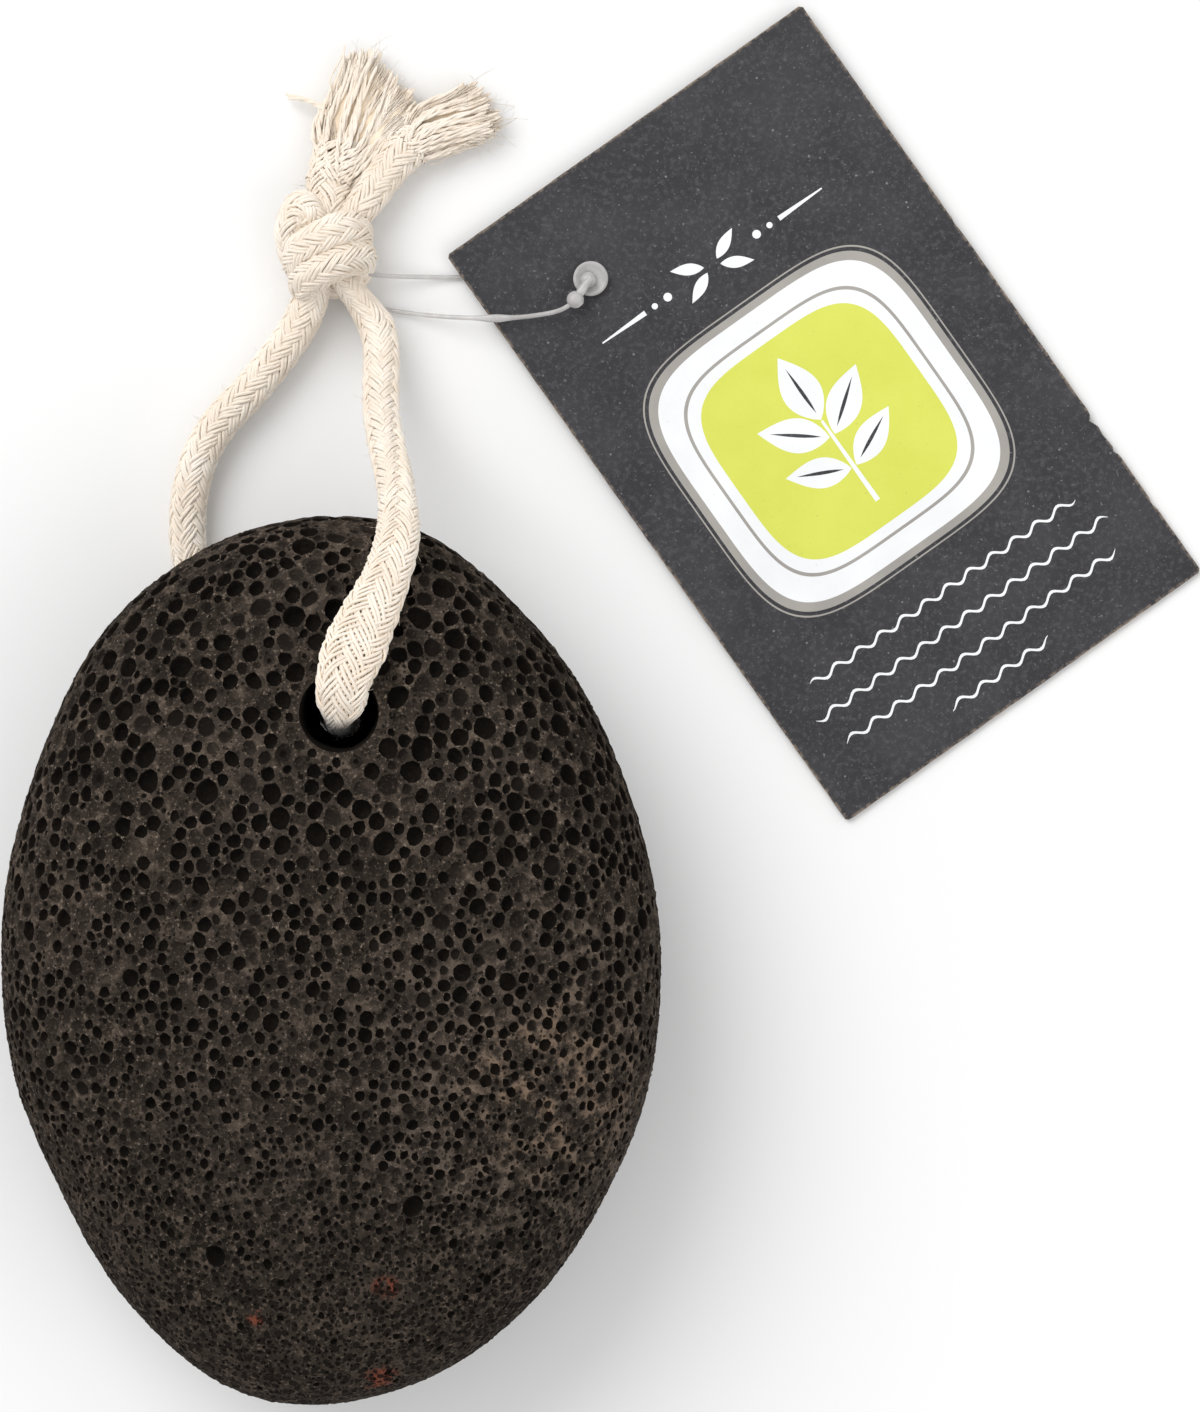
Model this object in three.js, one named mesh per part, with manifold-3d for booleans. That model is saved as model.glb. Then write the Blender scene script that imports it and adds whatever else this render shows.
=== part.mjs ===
// A pumice stone on a braided cotton cord, with a card hang tag on a plastic loop.
// Everything lies on a flat surface at z = 0. Millimetres, +Z up, +Y along the stone
// towards its drilled end. The origin is under the middle of the stone.

import * as THREE from "three";
import { ConvexHull } from "three/addons/math/ConvexHull.js";
import { mergeVertices } from "three/addons/utils/BufferGeometryUtils.js";
import Module from "manifold-3d";

// Stone. The outline is the distance from the middle to the edge, seen from above,
// at equal angles anticlockwise from +X.
const STONE_OUTLINE = [
  36.4, 36.9, 39.4, 43.6, 48.8, 48.8, 45.6, 40.8, 37.7,
  36.8, 37.9, 39.6, 44.6, 49.5, 48.2, 44.0, 39.8, 37.7,
];
const STONE_WIDEST_Z = 18.8;
const STONE_TOP = { height: 19.0, fullness: 2.35 };
const STONE_UNDERSIDE = { height: 19.4, fullness: 1.9 };
const STONE_UNEVENNESS = 0.25;
const PIT_COUNT = 1000;
const PIT_TRIES = 150000;
const PIT_SPACING = { plainEnd: 2.9, drilledEnd: 3.9 };
const PIT_DEPTH_SHARE = 0.34;
const PIT_CREST = { lift: 0.15, drop: 0.25 };
const RESTING_PATCH_MARGIN = 0.5;

// Drilled hole, with both mouths worn wider.
const HOLE = { x: 1.2, y: 27.6, radius: 4.1 };
const HOLE_TOP_FLARE = [[4.1, 33.2], [4.4, 34.6], [4.9, 36.4]];
const HOLE_LOWER_FLARE = [[8.9, 4.2], [7.2, 5.4], [5.3, 7.2], [4.1, 9.6]];

// Cord. One piece, from the tip of its left end to the tip of its right end.
const CORD_RADIUS = 2.05;
const KNOT_CORD_RADIUS = 1.8;
const KNOT_TURN_POINTS = 4;
const KNOT_TURN_OVERLAP = 0.3;
const KNOT_STEP = 2.4;
const CORD_SIDES = 8;
const CORD_STEP = 2.8;
const CORD_ROUTE = [
  // left end, from its frayed tip down into the knot
  [4.3, 101.9, 2.3], [2.8, 97.9, 2.3], [1.5, 94.5, 2.3], [0.1, 90.8, 2.5], [-0.9, 87.1, 3.2],
  // through the middle of the knot and round its left side to the front
  [-1.3, 83.8, 4.4], [-2.1, 80.9, 4.0], [-3.5, 78.9, 3.2], [-5.2, 78.6, 4.0],
  // across the front, to the right
  [-4.9, 79.8, 6.2], [-3.0, 80.8, 7.9], [-0.6, 81.8, 8.4], [1.9, 82.7, 7.4], [3.7, 82.5, 5.0],
  // across the back, to the left, and up round the left bulge
  [2.6, 80.7, 2.9], [-0.2, 78.9, 2.2], [-3.7, 78.9, 2.3], [-6.0, 80.5, 3.4],
  [-6.4, 83.1, 4.6], [-5.1, 85.2, 5.2], [-3.1, 84.6, 5.2],
  // down through the middle and out at the lower left
  [-1.9, 82.1, 5.2], [-1.6, 79.4, 4.9], [-2.1, 76.5, 4.2], [-3.2, 74.0, 3.2],
  // back strand, along the surface and in under the stone
  [-4.6, 71.2, 2.5], [-7.0, 67.8, 2.4], [-9.8, 64.4, 2.4], [-13.4, 60.5, 2.4],
  [-15.6, 56.7, 2.4], [-16.7, 52.6, 2.4], [-17.0, 49.0, 2.4], [-16.7, 45.2, 2.4],
  [-14.9, 41.2, 2.4], [-11.6, 37.4, 2.4], [-7.8, 33.9, 2.4],
  // up through the hole
  [-4.2, 30.9, 3.1], [-1.5, 29.0, 5.9], [0.2, 27.9, 10.2], [1.0, 27.3, 16.0], [1.3, 26.9, 23.0],
  [1.3, 26.7, 28.5], [1.3, 26.7, 31.8],
  // over the rim and the end of the stone, then down in a shallow sag
  [1.3, 27.1, 33.8], [1.4, 28.2, 35.5], [1.5, 29.8, 36.6], [1.8, 31.7, 37.0], [2.5, 33.9, 36.5],
  [3.7, 36.7, 35.3], [6.1, 41.6, 32.7], [7.5, 46.2, 29.2], [7.6, 50.2, 24.3], [7.0, 53.8, 18.9],
  [6.1, 57.3, 14.1], [5.3, 60.9, 10.1], [5.1, 64.6, 6.9], [5.1, 68.2, 4.7],
  // into the knot at the lower right and up through its middle
  [4.6, 71.2, 3.7], [3.7, 73.7, 3.6], [2.2, 75.9, 4.0], [0.6, 78.4, 4.8], [-0.2, 81.2, 5.0],
  // round the inner turn at the left
  [-1.6, 83.6, 4.4], [-3.4, 83.0, 3.2], [-4.2, 80.8, 2.6], [-2.8, 78.0, 2.1],
  // across the back, round the right side and across the front, to the left
  [0.4, 76.4, 2.2], [3.2, 77.4, 3.2], [4.2, 79.2, 5.2], [2.0, 78.9, 7.5], [-0.5, 77.9, 8.1],
  [-2.9, 76.8, 7.2], [-4.1, 75.9, 5.2],
  // back up through the middle and out to the tip of the right end
  [-3.6, 75.6, 3.2], [-1.6, 76.8, 2.7], [0.2, 79.6, 3.6], [1.8, 82.6, 4.2], [3.2, 85.4, 3.7],
  [5.0, 88.1, 2.8], [7.3, 91.0, 2.4], [10.6, 93.8, 2.3], [13.8, 95.2, 2.3], [17.4, 96.4, 2.3],
];
// Where the cord's stretches meet, counted in points of the route.
const LEFT_BRAID_END = 1.6;
const LEFT_TAIL_END = 4.3;
const KNOT_LEFT_EXIT = 24.5;
const KNOT_RIGHT_EXIT = 57.4;
const RIGHT_TAIL_START = 77.2;
const RIGHT_BRAID_END = 79.4;
// The gap between two stretches of cord, as a share of the way from one route point to the next.
const CORD_JOINT_GAP = 0.12;
const FRAY = { halfWidth: 4.6, halfThickness: 1.5 };
const KNOT_CORE = { at: [-1.0, 80.2, 4.9], halfSize: [4.4, 4.8, 3.7] };

// Hang tag: a card tilted just enough for the plastic loop to pass under its near edge.
const TAG = { width: 49.5, length: 79.0, thickness: 0.45 };
const TAG_CENTRE = { x: 55.45, y: 61.75 };
const TAG_TURN = THREE.MathUtils.degToRad(35.3);
const TAG_LOW_EDGE_Z = 0.05;
const TAG_HIGH_EDGE_Z = 1.1;
const TAG_HOLE_RADIUS = 1.5;

// Plastic loop of the tag, from the snap head down through the card and back to its bead.
const LOOP_RADIUS = 0.27;
const LOOP_SIDES = 6;
const LOOP_STEP = 2.4;
const HEAD = { x: 28.85, y: 77.05, radius: 2.0, thickness: 0.8 };
const HEAD_BOSS_RADIUS = 0.95;
const BEAD = { x: 27.1, y: 74.6, z: 3.15, radius: 1.0 };
const LOOP_ROUTE = [
  [28.85, 77.05, 2.2], [28.85, 77.05, 1.5], [28.3, 77.1, 0.8], [26.8, 77.15, 0.36],
  [24.0, 77.2, 0.3], [17.5, 77.3, 0.3], [12.5, 77.3, 0.4],
  [7.6, 76.5, 2.0], [6.0, 75.5, 4.6], [4.4, 74.0, 6.2], [2.4, 72.2, 5.6],
  [1.5, 71.0, 3.4], [2.0, 70.3, 1.3], [4.2, 71.0, 0.6], [7.4, 72.6, 0.5],
  [10.5, 72.9, 1.3], [14.0, 72.6, 2.4], [18.5, 72.5, 2.9], [22.5, 72.8, 3.0],
  [25.6, 73.5, 3.1], [27.1, 74.6, 3.15], [28.0, 75.9, 3.1], [28.85, 77.05, 2.9],
];

const wasm = await Module();
wasm.setup();

// A closed geometry as a solid that can be joined and cut.
function solidOf(geometry) {
  const bare = geometry.clone();
  bare.deleteAttribute("normal");
  bare.deleteAttribute("uv");
  const merged = mergeVertices(bare, 1e-4);
  return new wasm.Manifold(new wasm.Mesh({
    numProp: 3,
    vertProperties: merged.attributes.position.array,
    triVerts: new Uint32Array(merged.index.array),
  }));
}

function geometryOf(solid) {
  const mesh = solid.getMesh();
  const geometry = new THREE.BufferGeometry();
  geometry.setAttribute("position", new THREE.BufferAttribute(mesh.vertProperties, 3));
  geometry.setIndex(new THREE.BufferAttribute(mesh.triVerts, 1));
  return geometry;
}

function joined(geometries) {
  return geometries.map(solidOf).reduce((whole, next) => whole.add(next));
}

// A seeded random number from 0 to 1.
function randomSource(seed) {
  let state = seed;
  return () => {
    state = (state * 1664525 + 1013904223) % 4294967296;
    return state / 4294967296;
  };
}

// A smooth closed curve through the outline's distances.
function outlineRadius(angle) {
  const count = STONE_OUTLINE.length;
  const place = ((angle / (2 * Math.PI)) * count + count) % count;
  const first = Math.floor(place);
  const t = place - first;
  const [p0, p1, p2, p3] = [-1, 0, 1, 2].map((k) => STONE_OUTLINE[(first + k + count) % count]);
  const bend = 2 * p0 - 5 * p1 + 4 * p2 - p3;
  const twist = 3 * p1 - p0 - 3 * p2 + p3;
  return 0.5 * (2 * p1 + (p2 - p0) * t + bend * t * t + twist * t * t * t);
}

// The point of the smooth stone that lies in a direction from its middle.
function stonePoint(direction) {
  const d = direction.clone().normalize();
  const half = d.z >= 0 ? STONE_TOP : STONE_UNDERSIDE;
  const across = Math.hypot(d.x, d.y) / outlineRadius(Math.atan2(d.y, d.x));
  const up = Math.abs(d.z) / half.height;
  const reach = (across ** half.fullness + up ** half.fullness) ** (-1 / half.fullness);
  return d.multiplyScalar(reach);
}

// Low swells of the surface, as a share of STONE_UNEVENNESS.
function swell(p) {
  return 0.6 * Math.sin(p.x / 7.1 + 1.3) * Math.cos(p.y / 9.7 - 0.4)
    + 0.5 * Math.sin(p.y / 5.3 + p.z / 6.1) * Math.cos(p.x / 5.9 - p.z / 7.7);
}

// Middles of the pits, spread by chance but never crowded, and closer at the plain end.
function pitMiddles(random) {
  const middles = [];
  let tries = 0;
  while (middles.length < PIT_COUNT && tries < PIT_TRIES) {
    tries += 1;
    const turn = 2 * Math.PI * random();
    const z = 2 * random() - 1;
    const level = Math.sqrt(1 - z * z);
    const direction = new THREE.Vector3(37 * level * Math.cos(turn), 50 * level * Math.sin(turn), 19 * z);
    const point = stonePoint(direction);
    const towardsHole = THREE.MathUtils.smoothstep(point.y, -40, 35);
    const spacing = THREE.MathUtils.lerp(PIT_SPACING.plainEnd, PIT_SPACING.drilledEnd, towardsHole);
    if (middles.every((other) => other.distanceTo(point) > spacing)) middles.push(point);
  }
  return middles;
}

// The stone's skin: each pit is a ring of crest points round a sunken middle point.
function pittedStone() {
  const random = randomSource(2024);
  const hull = new ConvexHull().setFromPoints(pitMiddles(random));
  const middleIndex = new Map();
  const positions = [];
  const triangles = [];
  const lift = new THREE.Vector3(0, 0, STONE_WIDEST_Z);
  const addPoint = (point, sunk) => {
    const placed = point.clone();
    placed.setLength(point.length() + STONE_UNEVENNESS * swell(point) - sunk);
    placed.add(lift);
    positions.push(placed.x, placed.y, placed.z);
    return positions.length / 3 - 1;
  };
  const crestOf = new Map();
  for (const face of hull.faces) {
    const corners = [face.edge.tail().point, face.edge.head().point, face.edge.next.head().point];
    const centre = new THREE.Vector3();
    corners.forEach((corner) => centre.addScaledVector(corner, 1 / 3));
    const onSkin = stonePoint(centre);
    const nearPatch = onSkin.z + STONE_WIDEST_Z < RESTING_PATCH_MARGIN;
    crestOf.set(face, addPoint(onSkin, nearPatch ? 0 : PIT_CREST.drop * random() - PIT_CREST.lift));
    for (const corner of corners) {
      if (middleIndex.has(corner)) continue;
      const flat = corner.z + STONE_WIDEST_Z < RESTING_PATCH_MARGIN || random() < 0.08;
      const width = 2 * corner.distanceTo(onSkin);
      const depth = width * PIT_DEPTH_SHARE * (0.65 + 0.5 * random());
      middleIndex.set(corner, addPoint(corner, flat ? 0 : depth));
    }
  }
  for (const face of hull.faces) {
    let edge = face.edge;
    for (let side = 0; side < 3; side += 1) {
      const across = edge.twin.face;
      triangles.push(middleIndex.get(edge.tail().point), crestOf.get(across), crestOf.get(face));
      edge = edge.next;
    }
  }
  const skin = new THREE.BufferGeometry();
  skin.setAttribute("position", new THREE.Float32BufferAttribute(positions, 3));
  skin.setIndex(triangles);
  return solidOf(skin);
}

function holeCutter() {
  const below = [HOLE_LOWER_FLARE[0][0] + 1, -1];
  const above = [HOLE_TOP_FLARE.at(-1)[0] + 0.5, 42];
  const walls = [[0, -1], below, ...HOLE_LOWER_FLARE, ...HOLE_TOP_FLARE, above, [0, 42]];
  const profile = walls.map(([radius, height]) => new THREE.Vector2(radius, height));
  const cutter = new THREE.LatheGeometry(profile, 20);
  cutter.rotateX(Math.PI / 2);
  cutter.translate(HOLE.x, HOLE.y, 0);
  return solidOf(cutter);
}

function stoneGeometry() {
  const below = new THREE.BoxGeometry(200, 200, 20);
  below.translate(0, 0, -10);
  const stone = geometryOf(pittedStone().subtract(holeCutter()).subtract(solidOf(below)));
  stone.computeBoundingBox();
  const middle = stone.boundingBox.getCenter(new THREE.Vector3());
  return stone.translate(-middle.x, -middle.y, 0);
}

// A stretch of a longer curve, between two of its points by number.
class Stretch extends THREE.Curve {
  constructor(whole, pointCount, first, last) {
    super();
    Object.assign(this, { whole, pointCount, first, last });
  }

  getPoint(t, target = new THREE.Vector3()) {
    const place = this.first + t * (this.last - this.first);
    return this.whole.getPoint(place / (this.pointCount - 1), target);
  }
}

const cordCurve = new THREE.CatmullRomCurve3(CORD_ROUTE.map((p) => new THREE.Vector3(...p)));

function cordStretch(first, last) {
  return new Stretch(cordCurve, CORD_ROUTE.length, first, last);
}

function roundSection(radius, sides) {
  return new THREE.Shape(new THREE.EllipseCurve(0, 0, radius, radius).getPoints(sides).slice(0, sides));
}

function tube(curve, radius, sides, stepLength) {
  const steps = Math.max(2, Math.round(curve.getLength() / stepLength));
  return new THREE.ExtrudeGeometry(roundSection(radius, sides), { steps, extrudePath: curve });
}

// A closed solid of oval sections along a curve, level with the surface it lies on.
function fanned(curve, widths, thicknesses, sides) {
  const positions = [];
  const triangles = [];
  const rings = widths.length;
  for (let ring = 0; ring < rings; ring += 1) {
    const t = ring / (rings - 1);
    const centre = curve.getPointAt(t);
    const along = curve.getTangentAt(t);
    const sideways = new THREE.Vector3(along.y, -along.x, 0).normalize();
    const up = new THREE.Vector3().crossVectors(sideways, along);
    for (let side = 0; side < sides; side += 1) {
      const angle = (2 * Math.PI * side) / sides;
      const point = centre.clone().addScaledVector(sideways, widths[ring] * Math.cos(angle));
      point.addScaledVector(up, thicknesses[ring] * Math.sin(angle));
      positions.push(point.x, point.y, point.z);
    }
  }
  for (let ring = 0; ring < rings - 1; ring += 1) {
    for (let side = 0; side < sides; side += 1) {
      const a = ring * sides + side;
      const b = ring * sides + ((side + 1) % sides);
      triangles.push(a, a + sides, b, b, a + sides, b + sides);
    }
  }
  const last = (rings - 1) * sides;
  for (let side = 1; side < sides - 1; side += 1) {
    triangles.push(0, side, side + 1, last, last + side + 1, last + side);
  }
  const shape = new THREE.BufferGeometry();
  shape.setAttribute("position", new THREE.Float32BufferAttribute(positions, 3));
  shape.setIndex(triangles);
  return shape;
}

// A stretch of the cord as short tubes that overlap end to end, so that none crosses itself.
function knotTurns(first, last) {
  const count = Math.round((last - first) / KNOT_TURN_POINTS);
  const step = (last - first) / count;
  return Array.from({ length: count }, (_, turn) => {
    const from = first + turn * step;
    const to = Math.min(last, from + step + KNOT_TURN_OVERLAP);
    return tube(cordStretch(from, to), KNOT_CORD_RADIUS, CORD_SIDES, KNOT_STEP);
  });
}

function knotGeometry() {
  const core = new THREE.SphereGeometry(1, 10, 8);
  core.scale(...KNOT_CORE.halfSize);
  core.translate(...KNOT_CORE.at);
  const turns = [
    ...knotTurns(LEFT_TAIL_END, KNOT_LEFT_EXIT),
    ...knotTurns(KNOT_RIGHT_EXIT, RIGHT_TAIL_START),
  ];
  return geometryOf(joined([core, ...turns]));
}

function loopGeometry() {
  const loop = cordStretch(KNOT_LEFT_EXIT + CORD_JOINT_GAP, KNOT_RIGHT_EXIT - CORD_JOINT_GAP);
  return tube(loop, CORD_RADIUS, CORD_SIDES, CORD_STEP);
}

// One end of the cord: the braid, then its threads spread into a flat fan.
function tailGeometry(braidFrom, braidTo, tip) {
  const gap = CORD_JOINT_GAP * Math.sign(braidTo - braidFrom);
  const braid = cordStretch(braidFrom + gap, braidTo);
  const fray = cordStretch(braidTo, tip);
  const r = CORD_RADIUS;
  const points = [...braid.getSpacedPoints(4), ...fray.getSpacedPoints(4).slice(1)];
  const whole = new THREE.CatmullRomCurve3(points);
  const widths = [0.9 * r, r, 1.05 * r, 1.15 * r, 1.35 * r, 1.7 * r, 2.1 * r, FRAY.halfWidth, 0.8 * FRAY.halfWidth];
  const thicknesses = [0.9 * r, r, r, r, r, 0.95 * r, 0.9 * r, FRAY.halfThickness, 0.7 * FRAY.halfThickness];
  return fanned(whole, widths, thicknesses, CORD_SIDES);
}

function tagGeometry() {
  const outline = new THREE.Shape();
  const [w, l] = [TAG.width / 2, TAG.length / 2];
  outline.setFromPoints([[-w, -l], [w, -l], [w, l], [-w, l]].map(([x, y]) => new THREE.Vector2(x, y)));
  const hole = new THREE.Vector2(HEAD.x - TAG_CENTRE.x, HEAD.y - TAG_CENTRE.y);
  hole.rotateAround(new THREE.Vector2(0, 0), -TAG_TURN);
  outline.holes.push(new THREE.Path().absarc(hole.x, hole.y, TAG_HOLE_RADIUS, 0, 2 * Math.PI, true));
  const card = new THREE.ExtrudeGeometry(outline, {
    depth: TAG.thickness, bevelEnabled: false, curveSegments: 10,
  });
  return card;
}

function fastenerGeometry() {
  const route = new THREE.CatmullRomCurve3(LOOP_ROUTE.map((p) => new THREE.Vector3(...p)));
  const filament = tube(route, LOOP_RADIUS, LOOP_SIDES, LOOP_STEP);
  const headZ = tagTopAt(HEAD.x, HEAD.y) + 0.3 + HEAD.thickness / 2;
  const head = new THREE.CylinderGeometry(HEAD.radius, HEAD.radius, HEAD.thickness, 14);
  head.rotateX(Math.PI / 2);
  head.translate(HEAD.x, HEAD.y, headZ);
  const boss = new THREE.SphereGeometry(HEAD_BOSS_RADIUS, 10, 6);
  boss.translate(HEAD.x, HEAD.y, headZ + HEAD.thickness / 2);
  const bead = new THREE.SphereGeometry(BEAD.radius, 10, 6);
  bead.translate(BEAD.x, BEAD.y, BEAD.z);
  return geometryOf(joined([filament, head, boss, bead]));
}

// Height of the card's upper face over a place on the surface.
function tagTopAt(x, y) {
  const along = (y - TAG_CENTRE.y) * Math.cos(TAG_TURN) - (x - TAG_CENTRE.x) * Math.sin(TAG_TURN);
  const share = 0.5 + along / TAG.length;
  return TAG_LOW_EDGE_Z + share * (TAG_HIGH_EDGE_Z - TAG_LOW_EDGE_Z) + TAG.thickness;
}

function piece(name, geometry, colour, roughness) {
  const material = new THREE.MeshStandardMaterial({ color: colour, roughness, metalness: 0 });
  const mesh = new THREE.Mesh(geometry, material);
  mesh.name = name;
  return mesh;
}

const COTTON = 0xe9dcc4;
const object = new THREE.Group();
object.add(piece("pumice_stone", stoneGeometry(), 0x37332f, 0.95));
object.add(piece(
  "cord_loop",
  loopGeometry(),
  COTTON, 0.9,
));
object.add(piece("cord_knot", knotGeometry(), COTTON, 0.9));
object.add(piece("cord_tail_left", tailGeometry(LEFT_TAIL_END, LEFT_BRAID_END, 0), COTTON, 0.9));
object.add(piece(
  "cord_tail_right",
  tailGeometry(RIGHT_TAIL_START, RIGHT_BRAID_END, CORD_ROUTE.length - 1),
  COTTON, 0.9,
));

const tag = piece("hang_tag", tagGeometry(), 0x3a3a3e, 0.7);
tag.rotation.x = Math.atan2(TAG_HIGH_EDGE_Z - TAG_LOW_EDGE_Z, TAG.length);
const tagPlace = new THREE.Group();
tagPlace.rotation.z = TAG_TURN;
tagPlace.position.set(TAG_CENTRE.x, TAG_CENTRE.y, (TAG_LOW_EDGE_Z + TAG_HIGH_EDGE_Z) / 2);
tagPlace.add(tag);
object.add(tagPlace);
object.add(piece("tag_fastener", fastenerGeometry(), 0xe8e8e4, 0.35));

export default object;
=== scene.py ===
# A drilled pumice stone on a braided cotton cord, with a card hang tag on a plastic loop.
# Lengths are written in millimetres and turned into metres as each mesh is made.

import itertools
import math
import random

import bpy
import numpy as np
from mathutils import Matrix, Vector
from mathutils.geometry import delaunay_2d_cdt
from mathutils.kdtree import KDTree


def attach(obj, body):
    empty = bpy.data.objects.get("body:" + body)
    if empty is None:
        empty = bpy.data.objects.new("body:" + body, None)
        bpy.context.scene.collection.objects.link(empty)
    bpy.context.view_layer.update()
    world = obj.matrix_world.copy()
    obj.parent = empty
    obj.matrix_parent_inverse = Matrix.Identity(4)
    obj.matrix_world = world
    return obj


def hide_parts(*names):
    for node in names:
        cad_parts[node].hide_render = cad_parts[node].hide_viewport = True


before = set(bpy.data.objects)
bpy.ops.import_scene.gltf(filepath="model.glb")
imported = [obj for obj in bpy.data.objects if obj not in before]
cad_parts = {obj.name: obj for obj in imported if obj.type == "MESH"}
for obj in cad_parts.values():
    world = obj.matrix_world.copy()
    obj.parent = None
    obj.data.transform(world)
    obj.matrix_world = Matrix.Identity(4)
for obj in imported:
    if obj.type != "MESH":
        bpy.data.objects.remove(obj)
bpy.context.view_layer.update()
MM = 0.001
UP = np.array((0.0, 0.0, 1.0))
# Nearly a full turn, for random angles and phases.
RANDOM_TURN = 6.28
rng = np.random.default_rng(11)

# View. The photograph looks straight down on everything.
CAMERA_HEIGHT = 800.0
CAMERA_X = 29.91
CAMERA_Y = 28.41
SEEN_HEIGHT = 161.12
SENSOR = 36

# Studio, in metres: the floor, and the lights with their places, sizes and powers.
FLOOR_HALF = 3.0
FLOOR_Z = -0.0002
FLOOR_TONE = 0.86
LIGHTS = [("key", (-0.5, 0.6, 0.9), 0.9, 7.5), ("fill", (0.6, -0.4, 0.8), 0.8, 1.5)]
LIGHT_TARGET = Vector((0.02, 0.03, 0.0))
WORLD_STRENGTH = 0.78

# Stone, as in the part's source.
STONE_OUTLINE = [
    36.4, 36.9, 39.4, 43.6, 48.8, 48.8, 45.6, 40.8, 37.7,
    36.8, 37.9, 39.6, 44.6, 49.5, 48.2, 44.0, 39.8, 37.7,
]
STONE_WIDEST_Z = 18.8
STONE_LOWEST_Z = 0.02
STONE_TOP = {"height": 19.0, "fullness": 2.35}
STONE_UNDERSIDE = {"height": 19.4, "fullness": 1.9}
STONE_UNEVENNESS = 0.25
STONE_SHIFT = (0.24, 0.24)
STONE_HALF_SIZES = (37, 50, 19)
# Area of the stone's skin, in square millimetres.
STONE_AREA = 15200.0

# Drilled hole, with both mouths worn wider: pairs of radius and height.
HOLE_X = 1.44
HOLE_Y = 27.84
HOLE_TOP_FLARE = [(4.1, 32.0), (4.1, 33.2), (4.25, 34.6), (4.55, 36.4), (5.7, 39.0)]
HOLE_LOWER_FLARE = [(9.9, -1.0), (8.9, 4.2), (7.2, 5.4), (5.3, 7.2), (4.1, 9.6), (4.1, 12.0)]
HOLE_SIDES = 36
# Rounds in which a mouth's points settle on the skin.
HEIGHT_ROUNDS = 12
PLACE_ROUNDS = 8
# Drilled from both faces: the lower bore is narrower and a little to one side.
# Each ring has its radius, height, and the place of its middle.
THROAT = [(2.5, 15.5, 1.0, 27.3), (2.4, 12.5, 0.55, 27.6), (2.6, 9.6, 0.1, 27.95)]
# Heights of the upper bore's rings. The narrower bore starts below the last of them.
BORE_HEIGHTS = (26.0, 21.0, 17.5)
# How far pits keep from the hole's middle, beside their own size.
TOP_MOUTH_RADIUS = 4.6
LOWER_MOUTH_RADIUS = 9.6

# Pits. The local size is a radius that falls from the drilled end to the plain end.
PIT_SIZE_BY_Y = [(-50, 0.26), (-36, 0.33), (-18, 0.48), (2, 0.65), (24, 0.85), (50, 0.9)]
PIT_LEVELS = [(1.6, 0.07), (1.35, 0.12), (1.15, 0.17), (1.0, 0.14), (0.85, 0.08), (0.66, 0.04), (0.5, 0.015)]
PIT_CANDIDATES = 26000
SMALLEST_PIT = 0.21
# The pit at the lowest point, from which the flat map of the stone is spread out.
POLE_PIT = 1.0
UNDERSIDE_PIT_GROWTH = 1.2
UNDERSIDE_PIT_SIZE = 0.66
PIT_WALL = 0.11
# How much painted shade a shallow pit's floor gets, where 0.25 is quite dark.
SHALLOW_GLOOM = (0.1, 0.34)
# Shallow pits are deepest towards this side.
SHADOW_SIDE = np.array((-0.64, 0.77, 0.0))
PIT_OVERLAP = 0.86
# Sides of a rim, for radii above each of these.
PIT_SIDES = [(0.95, 10), (0.62, 8), (0.42, 7), (0.3, 6)]
FEWEST_PIT_SIDES = 5
DEEP_SHARE = 0.56
# Rings of points that belong to no pit's rim.
BELOW_RIM, TOP_MOUTH, LOWER_MOUTH = -1, -2, -3
BIG_PITS = [
    (-21.9, 37.3, 1.5), (-3.9, 38.1, 1.35), (-13.2, 18.8, 1.45), (-1.2, 14.1, 1.3),
    (17.0, 25.7, 1.35), (9.3, -26.6, 1.25), (-12.4, -32.0, 1.3),
]

# Reddish inclusions on top: x, y and size.
RED_SPOTS = [(6.4, -35.3, 1.9), (-7.9, -38.7, 1.4), (5.5, -45.9, 2.8)]
TAN_PATCH = (25.0, -13.0)

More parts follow.
